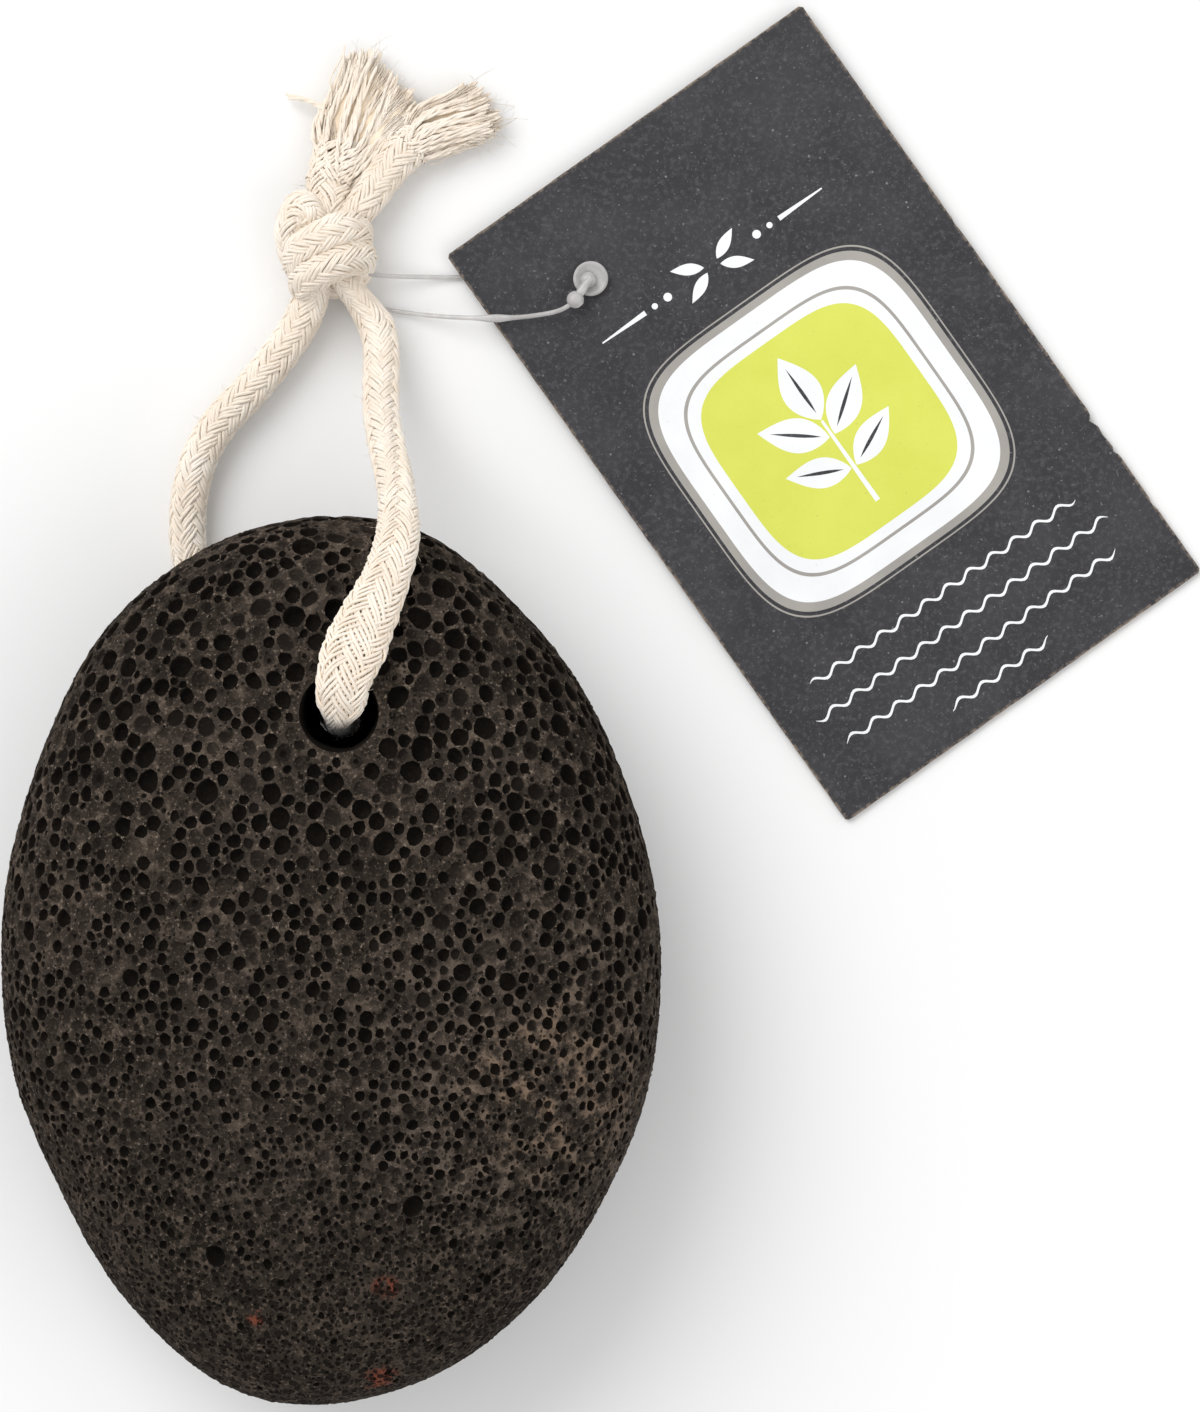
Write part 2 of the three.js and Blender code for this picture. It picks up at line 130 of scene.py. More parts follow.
# Cord. One piece, from the tip of its left end to the tip of its right end.
CORD_DIAMETER = 4.4
CORD_ROUTE = [
    # left end, from its frayed tip down into the knot
    (4.3, 101.9, 2.3), (2.8, 97.9, 2.3), (1.5, 94.5, 2.3), (0.1, 90.8, 2.5), (-0.9, 87.1, 3.2),
    # through the middle of the knot and round its left side to the front
    (-1.3, 83.8, 4.4), (-2.1, 80.9, 4.0), (-3.5, 78.9, 3.2), (-5.2, 78.6, 4.0),
    # across the front, to the right
    (-4.9, 79.8, 6.2), (-3.0, 80.8, 7.9), (-0.6, 81.8, 8.4), (1.9, 82.7, 7.4), (3.7, 82.5, 5.0),
    # across the back, to the left, and up round the left bulge
    (2.6, 80.7, 2.9), (-0.2, 78.9, 2.2), (-3.7, 78.9, 2.3), (-6.0, 80.5, 3.4),
    (-6.4, 83.1, 4.6), (-5.1, 85.2, 5.2), (-3.1, 84.6, 5.2),
    # down through the middle and out at the lower left
    (-1.9, 82.1, 5.2), (-1.6, 79.4, 4.9), (-2.1, 76.5, 4.2), (-3.2, 74.0, 3.2),
    # back strand, along the surface and in under the stone
    (-4.6, 71.2, 2.5), (-7.0, 67.8, 2.4), (-9.8, 64.4, 2.4), (-13.4, 60.5, 2.4),
    (-15.6, 56.7, 2.4), (-16.7, 52.6, 2.4), (-17.0, 49.0, 2.4), (-16.7, 45.2, 2.4),
    (-14.9, 41.2, 2.4), (-11.6, 37.4, 2.4), (-7.8, 33.9, 2.4),
    # up through the hole
    (-4.2, 30.9, 3.1), (-1.5, 29.0, 5.9), (0.2, 27.9, 10.2), (1.0, 27.3, 16.0), (1.3, 26.9, 23.0),
    (1.3, 26.7, 28.5), (1.3, 26.7, 31.8),
    # over the rim and the end of the stone, then down in a shallow sag
    (1.3, 27.1, 33.8), (1.4, 28.2, 35.5), (1.5, 29.8, 36.6), (1.8, 31.7, 37.0), (2.5, 33.9, 36.5),
    (3.7, 36.7, 35.3), (6.1, 41.6, 32.7), (7.5, 46.2, 29.2), (7.6, 50.2, 24.3), (7.0, 53.8, 18.9),
    (6.1, 57.3, 14.1), (5.3, 60.9, 10.1), (5.1, 64.6, 6.9), (5.1, 68.2, 4.7),
    # into the knot at the lower right and up through its middle
    (4.6, 71.2, 3.7), (3.7, 73.7, 3.6), (2.2, 75.9, 4.0), (0.6, 78.4, 4.8), (-0.2, 81.2, 5.0),
    # round the inner turn at the left
    (-1.6, 83.6, 4.4), (-3.4, 83.0, 3.2), (-4.2, 80.8, 2.6), (-2.8, 78.0, 2.1),
    # across the back, round the right side and across the front, to the left
    (0.4, 76.4, 2.2), (3.2, 77.4, 3.2), (4.2, 79.2, 5.2), (2.0, 78.9, 7.5), (-0.5, 77.9, 8.1),
    (-2.9, 76.8, 7.2), (-4.1, 75.9, 5.2),
    # back up through the middle and out to the tip of the right end
    (-3.6, 75.6, 3.2), (-1.6, 76.8, 2.7), (0.2, 79.6, 3.6), (1.8, 82.6, 4.2), (3.2, 85.4, 3.7),
    (5.0, 88.1, 2.8), (7.3, 91.0, 2.4), (10.6, 93.8, 2.3), (13.8, 95.2, 2.3), (17.4, 96.4, 2.3),
]
# Middle of the painted shade on the cord, where it goes down into the hole.
CORD_SHADE_IN_HOLE = (1.4, 25.2, 30.8)
# How far the cord is pulled to one side where it bends over the hole's rim.
RIM_PULL = np.array((0.3, -0.15, 0.0))
# Ends of the stretches, in numbers of route points.
LEFT_BRAID_END = 3.85
LEFT_TAIL_END = 4.3
KNOT_LEFT_EXIT = 24.5
KNOT_RIGHT_EXIT = 57.4
RIGHT_TAIL_START = 77.2
RIGHT_BRAID_END = 79.3
KNOT_MIDDLE = np.array((-1.9, 79.8, 4.9))
KNOT_SQUEEZE = np.array((0.19, 0.08, 0.0))
# Where the cord's section changes: the route points where a change begins, is full, fades and ends.
IN_LEFT_OF_KNOT = (4.2, 5.4, 23.0, 24.6)
IN_RIGHT_OF_KNOT = (57.0, 58.4, 76.2, 77.4)
AT_BULGE = (15.5, 17.0, 19.8, 21.0)
IN_HOLE = (39.5, 42.0, 42.6, 46.0)
AT_RIM = (42.8, 44.4, 47.5, 49.6)
ON_STONE = (45.5, 47.5, 49.5, 52.0)
LEFT_END_CLOSES = (3.4, 5.4)
RIGHT_END_OPENS = (78.2, 79.5)
TWISTS_WHERE_IT_HANGS = (50.5, 54.5)

# Braid: strands in each direction, yarns in a strand, and the length of one turn.
STRANDS = 8
YARNS = 3
BRAID_TURN = 17.6
BRAID_STEP = 0.5
BRAID_START_ANGLE = 0.6
HANGING_TWIST = math.pi / 4
YARN_HALF_HEIGHT = 0.195
YARN_HALF_WIDTH = 0.24
YARN_SIDES = 5
# The yarns' middles lie at this radius, and go this far over and under each other.
YARN_RADIUS = 1.76
WEAVE_DEPTH = 0.2
CORE_RADIUS = 1.4
CORE_STEP = 1.1
CORE_SIDES = 10

# Frayed ends: places of the outermost thread tips, in order across the fan.
LEFT_TIPS = [
    (0.9, 102.2), (1.5, 102.8), (2.8, 103.5), (3.9, 103.7), (5.2, 102.8), (6.6, 101.2),
    (7.2, 100.2), (8.8, 98.9), (9.9, 97.2), (9.9, 95.3),
]
RIGHT_TIPS = [
    (14.4, 99.2), (16.2, 99.7), (17.9, 97.7), (18.8, 96.1), (19.2, 95.1), (18.9, 94.0),
    (17.8, 93.1), (15.6, 92.2),
]
# How much further than the first yarns the last ones stay in the braid.
LEFT_LATE = 4.6
RIGHT_LATE = 1.0
FRAY_PLY = 0.17
FRAY_OPENING = 1.4
# Height of the brush above the floor.
FRAY_HEIGHT = 2.0
# One turn of a yarn's plies round each other.
PLY_TURN = 2.4
PLY_SIDES = 6
FRAY_FIBRES = 1100
FRAY_FIBRE = 0.062
FRAY_FIBRE_STEPS = 12
# How thin a loose tip is, as a share of its thread.
POINTED_TIP = 0.55
BATT_COLUMNS = 21
BATT_ROWS = 14
BATT_WIDTH = 3.6
BATT_REACH = 0.84
# Single hairs that stand off the cord and its ends.
HAIR_RADIUS = 0.017
HAIR_STEPS = 6
HAIR_FOOT_RADIUS = 2.0
LOOP_HAIRS = 300
KNOT_HAIRS = 160
TIP_HAIRS = 110
END_HAIRS = 50
THICK_STRAY = ((-0.4, 94.0, 2.8), (-1.6, 96.3, 2.4), (-3.6, 97.4, 1.8), (-5.9, 97.8, 1.2))
FINE_STRAYS = [
    ((-0.6, 96.6, 3.0), (-0.7, 99.6, 2.8), (0.5, 102.9, 2.3)),
    ((-0.1, 98.2, 3.0), (0.6, 101.0, 2.8), (0.9, 103.6, 2.4)),
]

# Hang tag, as in the part's source.
TAG_WIDTH = 49.5
TAG_LENGTH = 79.0
TAG_THICKNESS = 0.45
TAG_CENTRE = (55.45, 61.75)
TAG_TURN = math.radians(35.3)
TAG_LOW_EDGE_Z = 0.05
TAG_HIGH_EDGE_Z = 1.1
TAG_HOLE_RADIUS = 1.5
TAG_NICKS = [(-18.3, 0.55, 0.5), (-20.4, 0.22, 1.1), (-22.6, 0.3, 0.35), (-30.0, 0.3, 0.3), (9.0, 0.12, 0.6)]

# The card's materials, by number.
CARD, CARD_EDGE, WHITE, SILVER, LIME = range(5)

# Print on the tag, in the card's own plane.
EMBLEM_MIDDLE = (-0.7, -2.0)
EMBLEM_RIM = 17.2
EMBLEM_RIM_INNER = 16.3
EMBLEM_FIELD = 12.4
# The frame's areas from the outside in: half width, roundness, number of points, and ink.
EMBLEM_FRAMES = [
    (EMBLEM_RIM + 0.55, 4.4, 120, SILVER), (EMBLEM_RIM + 0.38, 4.4, 120, CARD),
    (EMBLEM_RIM, 4.4, 120, SILVER), (EMBLEM_RIM_INNER, 4.4, 120, WHITE),
    (EMBLEM_FIELD + 1.55, 4.2, 110, SILVER), (EMBLEM_FIELD + 1.2, 4.2, 110, WHITE),
    (EMBLEM_FIELD, 4.0, 100, LIME),
]
SPRIG_FOOT = -9.6
SPRIG_TOP = 1.6
# The sprig's two pairs of leaves: height of the foot, angle in degrees, length and width.
SPRIG_PAIRS = [(-0.6, 38, 8.3, 4.0), (-4.9, 26, 7.6, 3.5)]
HEADING_V = 21.1
HEADING_HALF = 15.3
RIPPLES = [(-24.4, 18.4), (-28.2, 20.3), (-32.0, 18.9), (-35.8, 6.9)]

# Plastic loop of the tag.
FILAMENT_RADIUS = 0.27
FILAMENT_RINGS = 260
FILAMENT_SIDES = 14
ROUNDING_STEPS = 5
BALL_STEPS = 12
HEAD = (28.85, 77.05)
HEAD_RADIUS = 2.0
HEAD_THICKNESS = 0.8
BEAD = (27.1, 74.6, 3.15)
BEAD_RADIUS = 1.0
FILAMENT_ROUTE = [
    (28.85, 77.05, 2.2), (28.85, 77.05, 1.5), (28.3, 77.1, 0.8), (26.8, 77.15, 0.36),
    (24.0, 77.2, 0.3), (17.5, 77.3, 0.3), (12.5, 77.3, 0.4),
    # in under the front of the knot, over the right strand and back behind it
    (8.4, 77.3, 1.4), (5.2, 77.3, 3.4), (3.4, 77.4, 5.4), (1.6, 77.3, 6.0), (0.2, 76.9, 5.4),
    (-0.1, 76.3, 3.6), (0.3, 75.6, 1.6), (1.6, 74.8, 0.8), (3.8, 74.0, 0.6), (6.2, 73.5, 0.5),
    (10.5, 72.9, 1.3), (14.0, 72.6, 2.4), (18.5, 72.5, 2.9), (22.5, 72.8, 3.0),
    (25.6, 73.5, 3.1), (27.1, 74.6, 3.15), (28.0, 75.9, 3.1), (28.85, 77.05, 2.9),
]


def make_object(name, points, faces, materials, smooth=True):
    """A piece from points in millimetres, that rides on the one body."""
    mesh = bpy.data.meshes.new(name)
    mesh.from_pydata((np.asarray(points, float) * MM).tolist(), [], faces)
    mesh.update()
    if smooth:
        mesh.shade_smooth()
    obj = bpy.data.objects.new(name, mesh)
    bpy.context.scene.collection.objects.link(obj)
    for material in materials:
        mesh.materials.append(material)
    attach(obj, "root")
    return obj


def add_point_value(obj, name, values):
    """A number for each point, which the material reads by name."""
    layer = obj.data.attributes.new(name, "FLOAT", "POINT")
    layer.data.foreach_set("value", np.asarray(values, np.float32))


# Small helpers


def unit(vectors):
    """A vector, or rows of vectors, brought to length 1."""
    return vectors / np.linalg.norm(vectors, axis=-1, keepdims=True)


def lengths_along(points):
    """How far along a line each of its points lies."""
    gaps = np.linalg.norm(np.diff(points, axis=0), axis=1)
    return np.concatenate([[0], np.cumsum(gaps)])


def level_side(heading):
    """The level direction across one heading, or across each of several."""
    return unit(np.cross(heading, UP))


def soft_step(value, low, high):
    t = np.clip((value - low) / (high - low), 0, 1)
    return t * t * (3 - 2 * t)


def soft_stretch(number, stretch):
    """1 in a stretch of route points, which begins, is full, starts to fade and ends there."""
    begins, full, fades, ends = stretch
    return soft_step(number, begins, full) * (1 - soft_step(number, fades, ends))


def scatter(x, y, z):
    """A random offset, with its usual size along each axis."""
    return np.array([random.gauss(0, size) for size in (x, y, z)])


def search_tree(points):
    tree = KDTree(len(points))
    for index, point in enumerate(points):
        tree.insert(point, index)
    tree.balance()
    return tree


# Route of the cord


def smooth_route(points, steps):
    """A centripetal curve through the points: places along it and their route-point numbers."""
    given = np.array(points, float)
    ends = (2 * given[0] - given[1], 2 * given[-1] - given[-2])
    given = np.vstack([ends[0], given, ends[1]])
    places = []
    numbers = []
    for i in range(1, len(given) - 2):
        p0, p1, p2, p3 = given[i - 1:i + 3]
        gaps = [math.sqrt(np.linalg.norm(b - a)) for a, b in ((p0, p1), (p1, p2), (p2, p3))]
        t1 = gaps[0]
        t2 = t1 + gaps[1]
        t3 = t2 + gaps[2]
        for k in range(steps):
            t = t1 + (t2 - t1) * k / steps
            a1 = ((t1 - t) * p0 + t * p1) / t1
            a2 = ((t2 - t) * p1 + (t - t1) * p2) / (t2 - t1)
            a3 = ((t3 - t) * p2 + (t - t2) * p3) / (t3 - t2)
            b1 = ((t2 - t) * a1 + t * a2) / t2
            b2 = ((t3 - t) * a2 + (t - t1) * a3) / (t3 - t1)
            places.append(((t2 - t) * b1 + (t - t1) * b2) / (t2 - t1))
            numbers.append(i - 1 + k / steps)
    places.append(given[-2])
    numbers.append(len(points) - 1)
    return np.array(places), np.array(numbers)


class Line:
    """A curve measured by its length, with two directions across it that don't twist."""

    def __init__(self, points, steps=24):
        self.places, self.numbers = smooth_route(points, steps)
        self.run = lengths_along(self.places)
        self.tangents = unit(np.gradient(self.places, self.run, axis=0))
        across = level_side(self.tangents[0])
        sides = [across]
        for t in self.tangents[1:]:
            across = unit(across - t * np.dot(across, t))
            sides.append(across)
        self.sides = np.array(sides)

    def length_at(self, number):
        return float(np.interp(number, self.numbers, self.run))

    def _mix(self, values, run):
        return np.stack([np.interp(run, self.run, values[:, k]) for k in range(3)], axis=-1)

    def at(self, run):
        """Place, tangent, and the two directions across, at lengths along the line."""
        t = unit(self._mix(self.tangents, run))
        a = self._mix(self.sides, run)
        a = unit(a - t * np.sum(a * t, axis=-1)[..., None])
        return self._mix(self.places, run), t, a, np.cross(t, a)


def tube_rings(centres, outward, half_out, half_side, sides):
    """Rings of points round a line of centres. outward is roughly across the line."""
    along = unit(np.gradient(centres, axis=0))
    out = unit(outward - along * np.sum(outward * along, axis=1)[:, None])
    side = np.cross(along, out)
    angles = 2 * np.pi * np.arange(sides) / sides
    half_out = np.broadcast_to(half_out, len(centres))[:, None, None]
    half_side = np.broadcast_to(half_side, len(centres))[:, None, None]
    ring = half_out * np.cos(angles)[None, :, None] * out[:, None, :]
    ring = ring + half_side * np.sin(angles)[None, :, None] * side[:, None, :]
    return (centres[:, None, :] + ring).reshape(-1, 3)


class TubeSet:
    """Many thin tubes gathered into one mesh, with a length and a turn for the twist pattern."""

    def __init__(self):
        self.points = []
        self.faces = []
        self.uvs = []
        self.count = 0

    def add(self, centres, outward, half_out, half_side, sides, start=0.0, pointed=False):
        rings = len(centres)
        half_out = np.broadcast_to(np.asarray(half_out, float), rings).copy()
        half_side = np.broadcast_to(np.asarray(half_side, float), rings).copy()
        if pointed:
            half_out[-1] *= POINTED_TIP
            half_side[-1] *= POINTED_TIP
        points = tube_rings(centres, outward, half_out, half_side, sides)
        self.add_rings(points, sides, start + lengths_along(centres))

    def add_rings(self, points, sides, run, turns=(0.0, 1.0)):
        """A tube from ready rings of points, with a length for each ring."""
        self.points.append(points)
        rings = len(run)
        base = self.count + np.arange(rings - 1)[:, None] * sides
        k = np.arange(sides)[None, :]
        nxt = (k + 1) % sides
        quads = np.stack([base + k, base + nxt, base + sides + nxt, base + sides + k], axis=-1)
        self.faces.append(quads.reshape(-1, 4))
        low = np.broadcast_to(run[:-1, None], (rings - 1, sides))
        high = np.broadcast_to(run[1:, None], (rings - 1, sides))
        first, span = turns[0], turns[1] - turns[0]
        v0 = np.broadcast_to(first + span * k / sides, (rings - 1, sides))
        v1 = np.broadcast_to(first + span * (k + 1) / sides, (rings - 1, sides))
        uv = np.stack([np.stack(c, axis=-1) for c in ((low, v0), (low, v1), (high, v1), (high, v0))], axis=-2)
        self.uvs.append(uv.reshape(-1, 2))
        self.count += rings * sides

    def build(self, name, material):
        points = np.concatenate(self.points)
        faces = np.concatenate(self.faces).tolist()
        obj = make_object(name, points, faces, [material])
        layer = obj.data.uv_layers.new(name="thread")
        layer.data.foreach_set("uv", np.concatenate(self.uvs).astype(np.float32).ravel())
        return obj


def cord_section(run, x, y, place, across, other):
    """Where a point of the cord's round section lies, pressed a little by what it lies on."""
    number = np.interp(run, cord_line.run, cord_line.numbers)
    on_stone = soft_stretch(number, ON_STONE)
    in_knot = soft_stretch(number, IN_LEFT_OF_KNOT) + soft_stretch(number, IN_RIGHT_OF_KNOT)
    up = np.stack([across[:, 2], other[:, 2]], axis=-1)
    from_knot = place - KNOT_MIDDLE
    outward = np.stack([np.sum(from_knot * across, axis=1), np.sum(from_knot * other, axis=1)], axis=-1)
    outward /= np.linalg.norm(outward, axis=1)[:, None] + 1e-6
    up = up * (1 - in_knot)[:, None] + outward * in_knot[:, None]
    up /= np.linalg.norm(up, axis=1)[:, None] + 1e-6
    loose = 1 - soft_step(number, *LEFT_END_CLOSES)
    opened = soft_step(number, *RIGHT_END_OPENS)
    bulge = soft_stretch(number, AT_BULGE)
    at_rim = soft_stretch(number, AT_RIM)
    in_hole = soft_stretch(number, IN_HOLE)
    width = 1 + 0.24 * on_stone + 0.46 * at_rim + 0.1 * in_knot + 0.38 * loose + 0.16 * opened + 0.34 * bulge
    height = 1 - 0.2 * on_stone - 0.2 * at_rim - 0.1 * in_knot + 0.04 * (loose + opened) + 0.42 * bulge
    width = width - 0.36 * in_hole
    height = height - 0.34 * in_hole
    tall = (x * up[:, 0] + y * up[:, 1]) * height
    wide = (-x * up[:, 1] + y * up[:, 0]) * width
    x = tall * up[:, 0] - wide * up[:, 1]
    y = tall * up[:, 1] + wide * up[:, 0]
    point = place + across * x[:, None] + other * y[:, None] + RIM_PULL * at_rim[:, None]
    return point - (point - KNOT_MIDDLE) * KNOT_SQUEEZE * (in_knot + 0.6 * bulge)[:, None]


def yarn_centres(run, direction, strand, yarn):
    """Centreline of one yarn of the braid, woven over two and under two."""
    place, _, across, other = cord_line.at(run)
    between = 2 * np.pi / STRANDS / YARNS
    angle = direction * 2 * np.pi * run / BRAID_TURN + 2 * np.pi * strand / STRANDS
    from_middle = yarn - (YARNS - 1) / 2
    angle = angle + from_middle * between
    lag = from_middle / YARNS
    wave = np.cos(np.pi / 2 * (STRANDS / np.pi * angle - lag - 0.5))
    wave = wave * (1.5 - 0.5 * wave * wave)
    seed = 7.3 * strand + 3.1 * yarn + 1.7 * direction
    uneven = 0.035 * np.sin(run / 2.3 + seed) + 0.025 * np.sin(run / 0.9 + 2 * seed)
    radius = YARN_RADIUS + direction * WEAVE_DEPTH * wave + uneven
    number = np.interp(run, cord_line.run, cord_line.numbers)
    angle = angle + BRAID_START_ANGLE + HANGING_TWIST * soft_step(number, *TWISTS_WHERE_IT_HANGS)
    angle = angle + 0.03 * np.sin(run / 1.7 + 3 * seed)
    x = radius * np.cos(angle)
    y = radius * np.sin(angle)
    centre = cord_section(run, x, y, place, across, other)
    return centre, centre - place


def every_yarn():
    """Each yarn of the braid: its direction, its strand, and its number in the strand."""
    return itertools.product((1, -1), range(STRANDS), range(YARNS))


def evenly(start, end, step):
    return np.linspace(start, end, max(4, int(round((end - start) / step))))


def add_braid(tubes, first, last):
    """Every yarn of the braid between two route-point numbers, with the cord's plain core."""
    start = cord_line.length_at(first)
    end = cord_line.length_at(last)
    run = evenly(start, end, BRAID_STEP)
    for direction, strand, yarn in every_yarn():
        centres, outward = yarn_centres(run, direction, strand, yarn)
        tubes.add(centres, outward, YARN_HALF_HEIGHT, YARN_HALF_WIDTH, YARN_SIDES, start)
    core = evenly(start, end, CORE_STEP)
    place, _, across, other = cord_line.at(core)
    centred = 0 * core
    middle = cord_section(core, centred, centred, place, across, other)
    edge = cord_section(core, CORE_RADIUS + centred, centred, place, across, other)
    narrow = np.minimum(np.linalg.norm(edge - middle, axis=1), CORE_RADIUS)
    tubes.add(middle, across, narrow, narrow, CORE_SIDES, start)


cord_line = Line(CORD_ROUTE)


# Frayed ends


def point_on(places, share):
    """The place at a share of the way along a row of places."""
    places = np.array(places, float)
    numbers = np.arange(len(places))
    wanted = share * (len(places) - 1)
    return np.array([np.interp(wanted, numbers, places[:, k]) for k in (0, 1)])


def opened_end(number, further=0.0):
    """The cord's place and heading at a length past a route point."""
    run = cord_line.length_at(number) + further
    place, along, _, _ = cord_line.at(np.array([run]))
    return place[0], along[0]


def bent_thread(start, heading, tip, arrival, count):
    """A smooth thread from one place to another, leaving and arriving in given directions."""
    reach = np.linalg.norm(tip - start)
    t = np.linspace(0, 1, count)[:, None]
    a = start + heading * reach * 0.36
    b = tip - arrival * reach * 0.3
    return (1 - t) ** 3 * start + 3 * (1 - t) ** 2 * t * a + 3 * (1 - t) * t * t * b + t ** 3 * tip


def add_plies(tubes, centres, plies, thickness, loosening):
    """The plies of one yarn, wound round each other and coming loose towards the tip."""
    count = len(centres)
    run = lengths_along(centres)
    along = unit(np.gradient(centres, axis=0))
    side = level_side(along)
    up = np.cross(side, along)
    share = np.linspace(0, 1, count)
    first = random.random() * RANDOM_TURN
    for ply in range(plies):
        turn = first + 2 * math.pi * ply / plies + run * 2 * math.pi / PLY_TURN * (1 - 0.4 * share)
        apart = thickness * 0.75 + loosening * share ** 3 * (0.5 + random.random())
        drift = scatter(0.1, 0.1, 0.08)
        line = centres + side * (apart * np.cos(turn))[:, None] + up * (apart * np.sin(turn))[:, None]
        line = line + drift * (share ** 3)[:, None]
        line[:, 2] = np.maximum(line[:, 2], 0.12)
        last = count - random.randrange(0, 2)
        half = thickness * (1 + 0.12 * share[:last])
        tubes.add(line[:last], up[:last] + 0.01, half, half, PLY_SIDES, run[0], pointed=True)


def braided_ends(number, direction, late):
    """The last stretch of every yarn of the braid, in order across it. The first side opens last."""
    end = cord_line.length_at(number)
    place, along = opened_end(number)
    flat_side = level_side(along * direction)
    ends = []
    for way, strand, yarn in every_yarn():
        begin, _ = yarn_centres(np.array([end]), way, strand, yarn)
        share = 0.5 + float(np.dot(begin[0] - place, flat_side)) / CORD_DIAMETER
        further = 0.3 + late * max(0.0, 1 - share) + 0.5 * random.random()
        run = end + direction * np.linspace(0, further, max(3, int(further / 0.4)))
        braided, _ = yarn_centres(run, way, strand, yarn)
        here = cord_line.at(run[-1:])[0][0]
        offset = float(np.dot(braided[-1] - here, flat_side)) + random.gauss(0, 0.15)
        ends.append((offset, braided, float(braided[-1][2] - here[2])))
    ends.sort(key=lambda found: found[0])
    return place, along * direction, flat_side, ends


def add_fray(tubes, number, direction, late, tips, height):
    """The braid's yarns past its end, spread into a flat brush."""
    place, heading, flat_side, ends = braided_ends(number, direction, late)
    inner = cord_line.length_at(number) + direction * np.linspace(0, 0.5 + 0.8 * late, 8)
    tubes.add(cord_line.at(inner)[0], flat_side + 0 * inner[:, None], np.linspace(1.2, 0.7, 8), 1.5, 10)
    for index, (_, braided, lift) in enumerate(ends):
        share = (index + 0.5) / len(ends)
        start = braided[-1]
        leaving = unit(start - braided[-2])
        x, y = point_on(tips, share)
        z = np.clip(height + lift * 0.35 + random.gauss(0, 0.25), 0.4, 4.0)
        reach = 1 - min(0.35, abs(random.gauss(0, 0.08)))
        tip = start + (np.array((x, y, z)) - start) * reach
        arrival = unit(unit(tip - place) + scatter(0.1, 0.1, 0.05))
        count = max(14, int(np.linalg.norm(tip - start) / 0.45))
        setting_off = 0.3 * leaving + 0.7 * heading + flat_side * (share - 0.5) * FRAY_OPENING
        loose = bent_thread(start, setting_off, tip, arrival, count)
        t = np.linspace(0, 1, count)
        ripple = t * 5.0 * count / 26
        crimp = 0.08 * np.sin(ripple + random.random() * RANDOM_TURN) * np.minimum(1, t * 5)
        wave = 0.07 * np.sin(ripple * 1.2 + random.random() * RANDOM_TURN) * np.minimum(1, t * 5)
        loose = loose + flat_side * crimp[:, None]
        loose[:, 2] = np.maximum(loose[:, 2] + wave, 0.3)
        add_plies(tubes, np.concatenate([braided[:-1], loose]), 2, FRAY_PLY, 0.05)


def opening_thread(number, direction, late, tips, height, share, side_offset, further, part, loose, count):
    """A thread that leaves the braid where it opens and runs towards the tips."""
    place, along = opened_end(number, direction * (late * (1 - share) + further))
    heading = along * direction
    flat_side = level_side(heading)
    start = place + flat_side * side_offset
    x, y = point_on(tips, share)
    tip = start + (np.array((x, y, height)) - start) * part
    arrival = unit(tip - place) + loose
    setting_off = heading + flat_side * (share - 0.5) * FRAY_OPENING
    return bent_thread(start, setting_off, tip, arrival, count)


def add_batt(tubes, number, direction, late, tips, height):
    """The soft mass of fine fibres in which the yarns of a frayed end lie."""
    shares = np.linspace(0, 1, BATT_COLUMNS)
    columns = []
    for share in shares:
        side_offset = (share - 0.5) * BATT_WIDTH
        columns.append(opening_thread(
            number, direction, late, tips, height, share, side_offset, 0.3, BATT_REACH, 0, BATT_ROWS))
    columns = np.array(columns)
    t = np.linspace(0, 1, BATT_ROWS)
    thick = np.sqrt(1 - (2 * shares - 1) ** 2)[:, None] * ((1 - t) * 1.1 + t * 0.5)[None, :]
    thick[:, -1] *= 0.1
    lift = thick[:, :, None] * UP
    rings = np.concatenate([columns + lift, (columns - lift)[::-1]]).transpose(1, 0, 2)
    tubes.add_rings(rings.reshape(-1, 3), 2 * BATT_COLUMNS, 9.0 * t, (0.3, 0.7))


def add_combed_fibres(tubes, number, direction, late, tips, height):
    """Finer threads combed out between the yarns of a frayed end."""
    for _ in range(FRAY_FIBRES):
        share = random.random()
        offset = (share - 0.5) * 4.0 + random.gauss(0, 0.25)
        loose = scatter(0.12, 0.12, 0.05)
        line = opening_thread(
            number, direction, late, tips, height + random.gauss(0.4, 0.4), share, offset,
            0.4 + 1.2 * random.random(), random.uniform(0.6, 0.94), loose, FRAY_FIBRE_STEPS)
        line[:, 2] += random.uniform(-0.6, 1.2) * np.linspace(1, 0, FRAY_FIBRE_STEPS) ** 2
        line[:, 2] = np.maximum(line[:, 2], 0.2)
        tubes.add(line, UP + 0 * line, FRAY_FIBRE, FRAY_FIBRE, 4, random.random(), pointed=True)


def add_hairs(tubes, count, where, reach):
    """Single cotton fibres that stand off the threads."""
    for _ in range(count):
        start, heading = where()
        bend = unit(scatter(1, 1, 0.5))
        length = reach * (0.35 + random.random())
        t = np.linspace(0, 1, HAIR_STEPS)[:, None]
        line = start + heading * length * t + bend * length * 0.55 * t * t
        line[:, 2] = np.maximum(line[:, 2], 0.06)
        tubes.add(line, bend + 0.02, HAIR_RADIUS, HAIR_RADIUS, 3)


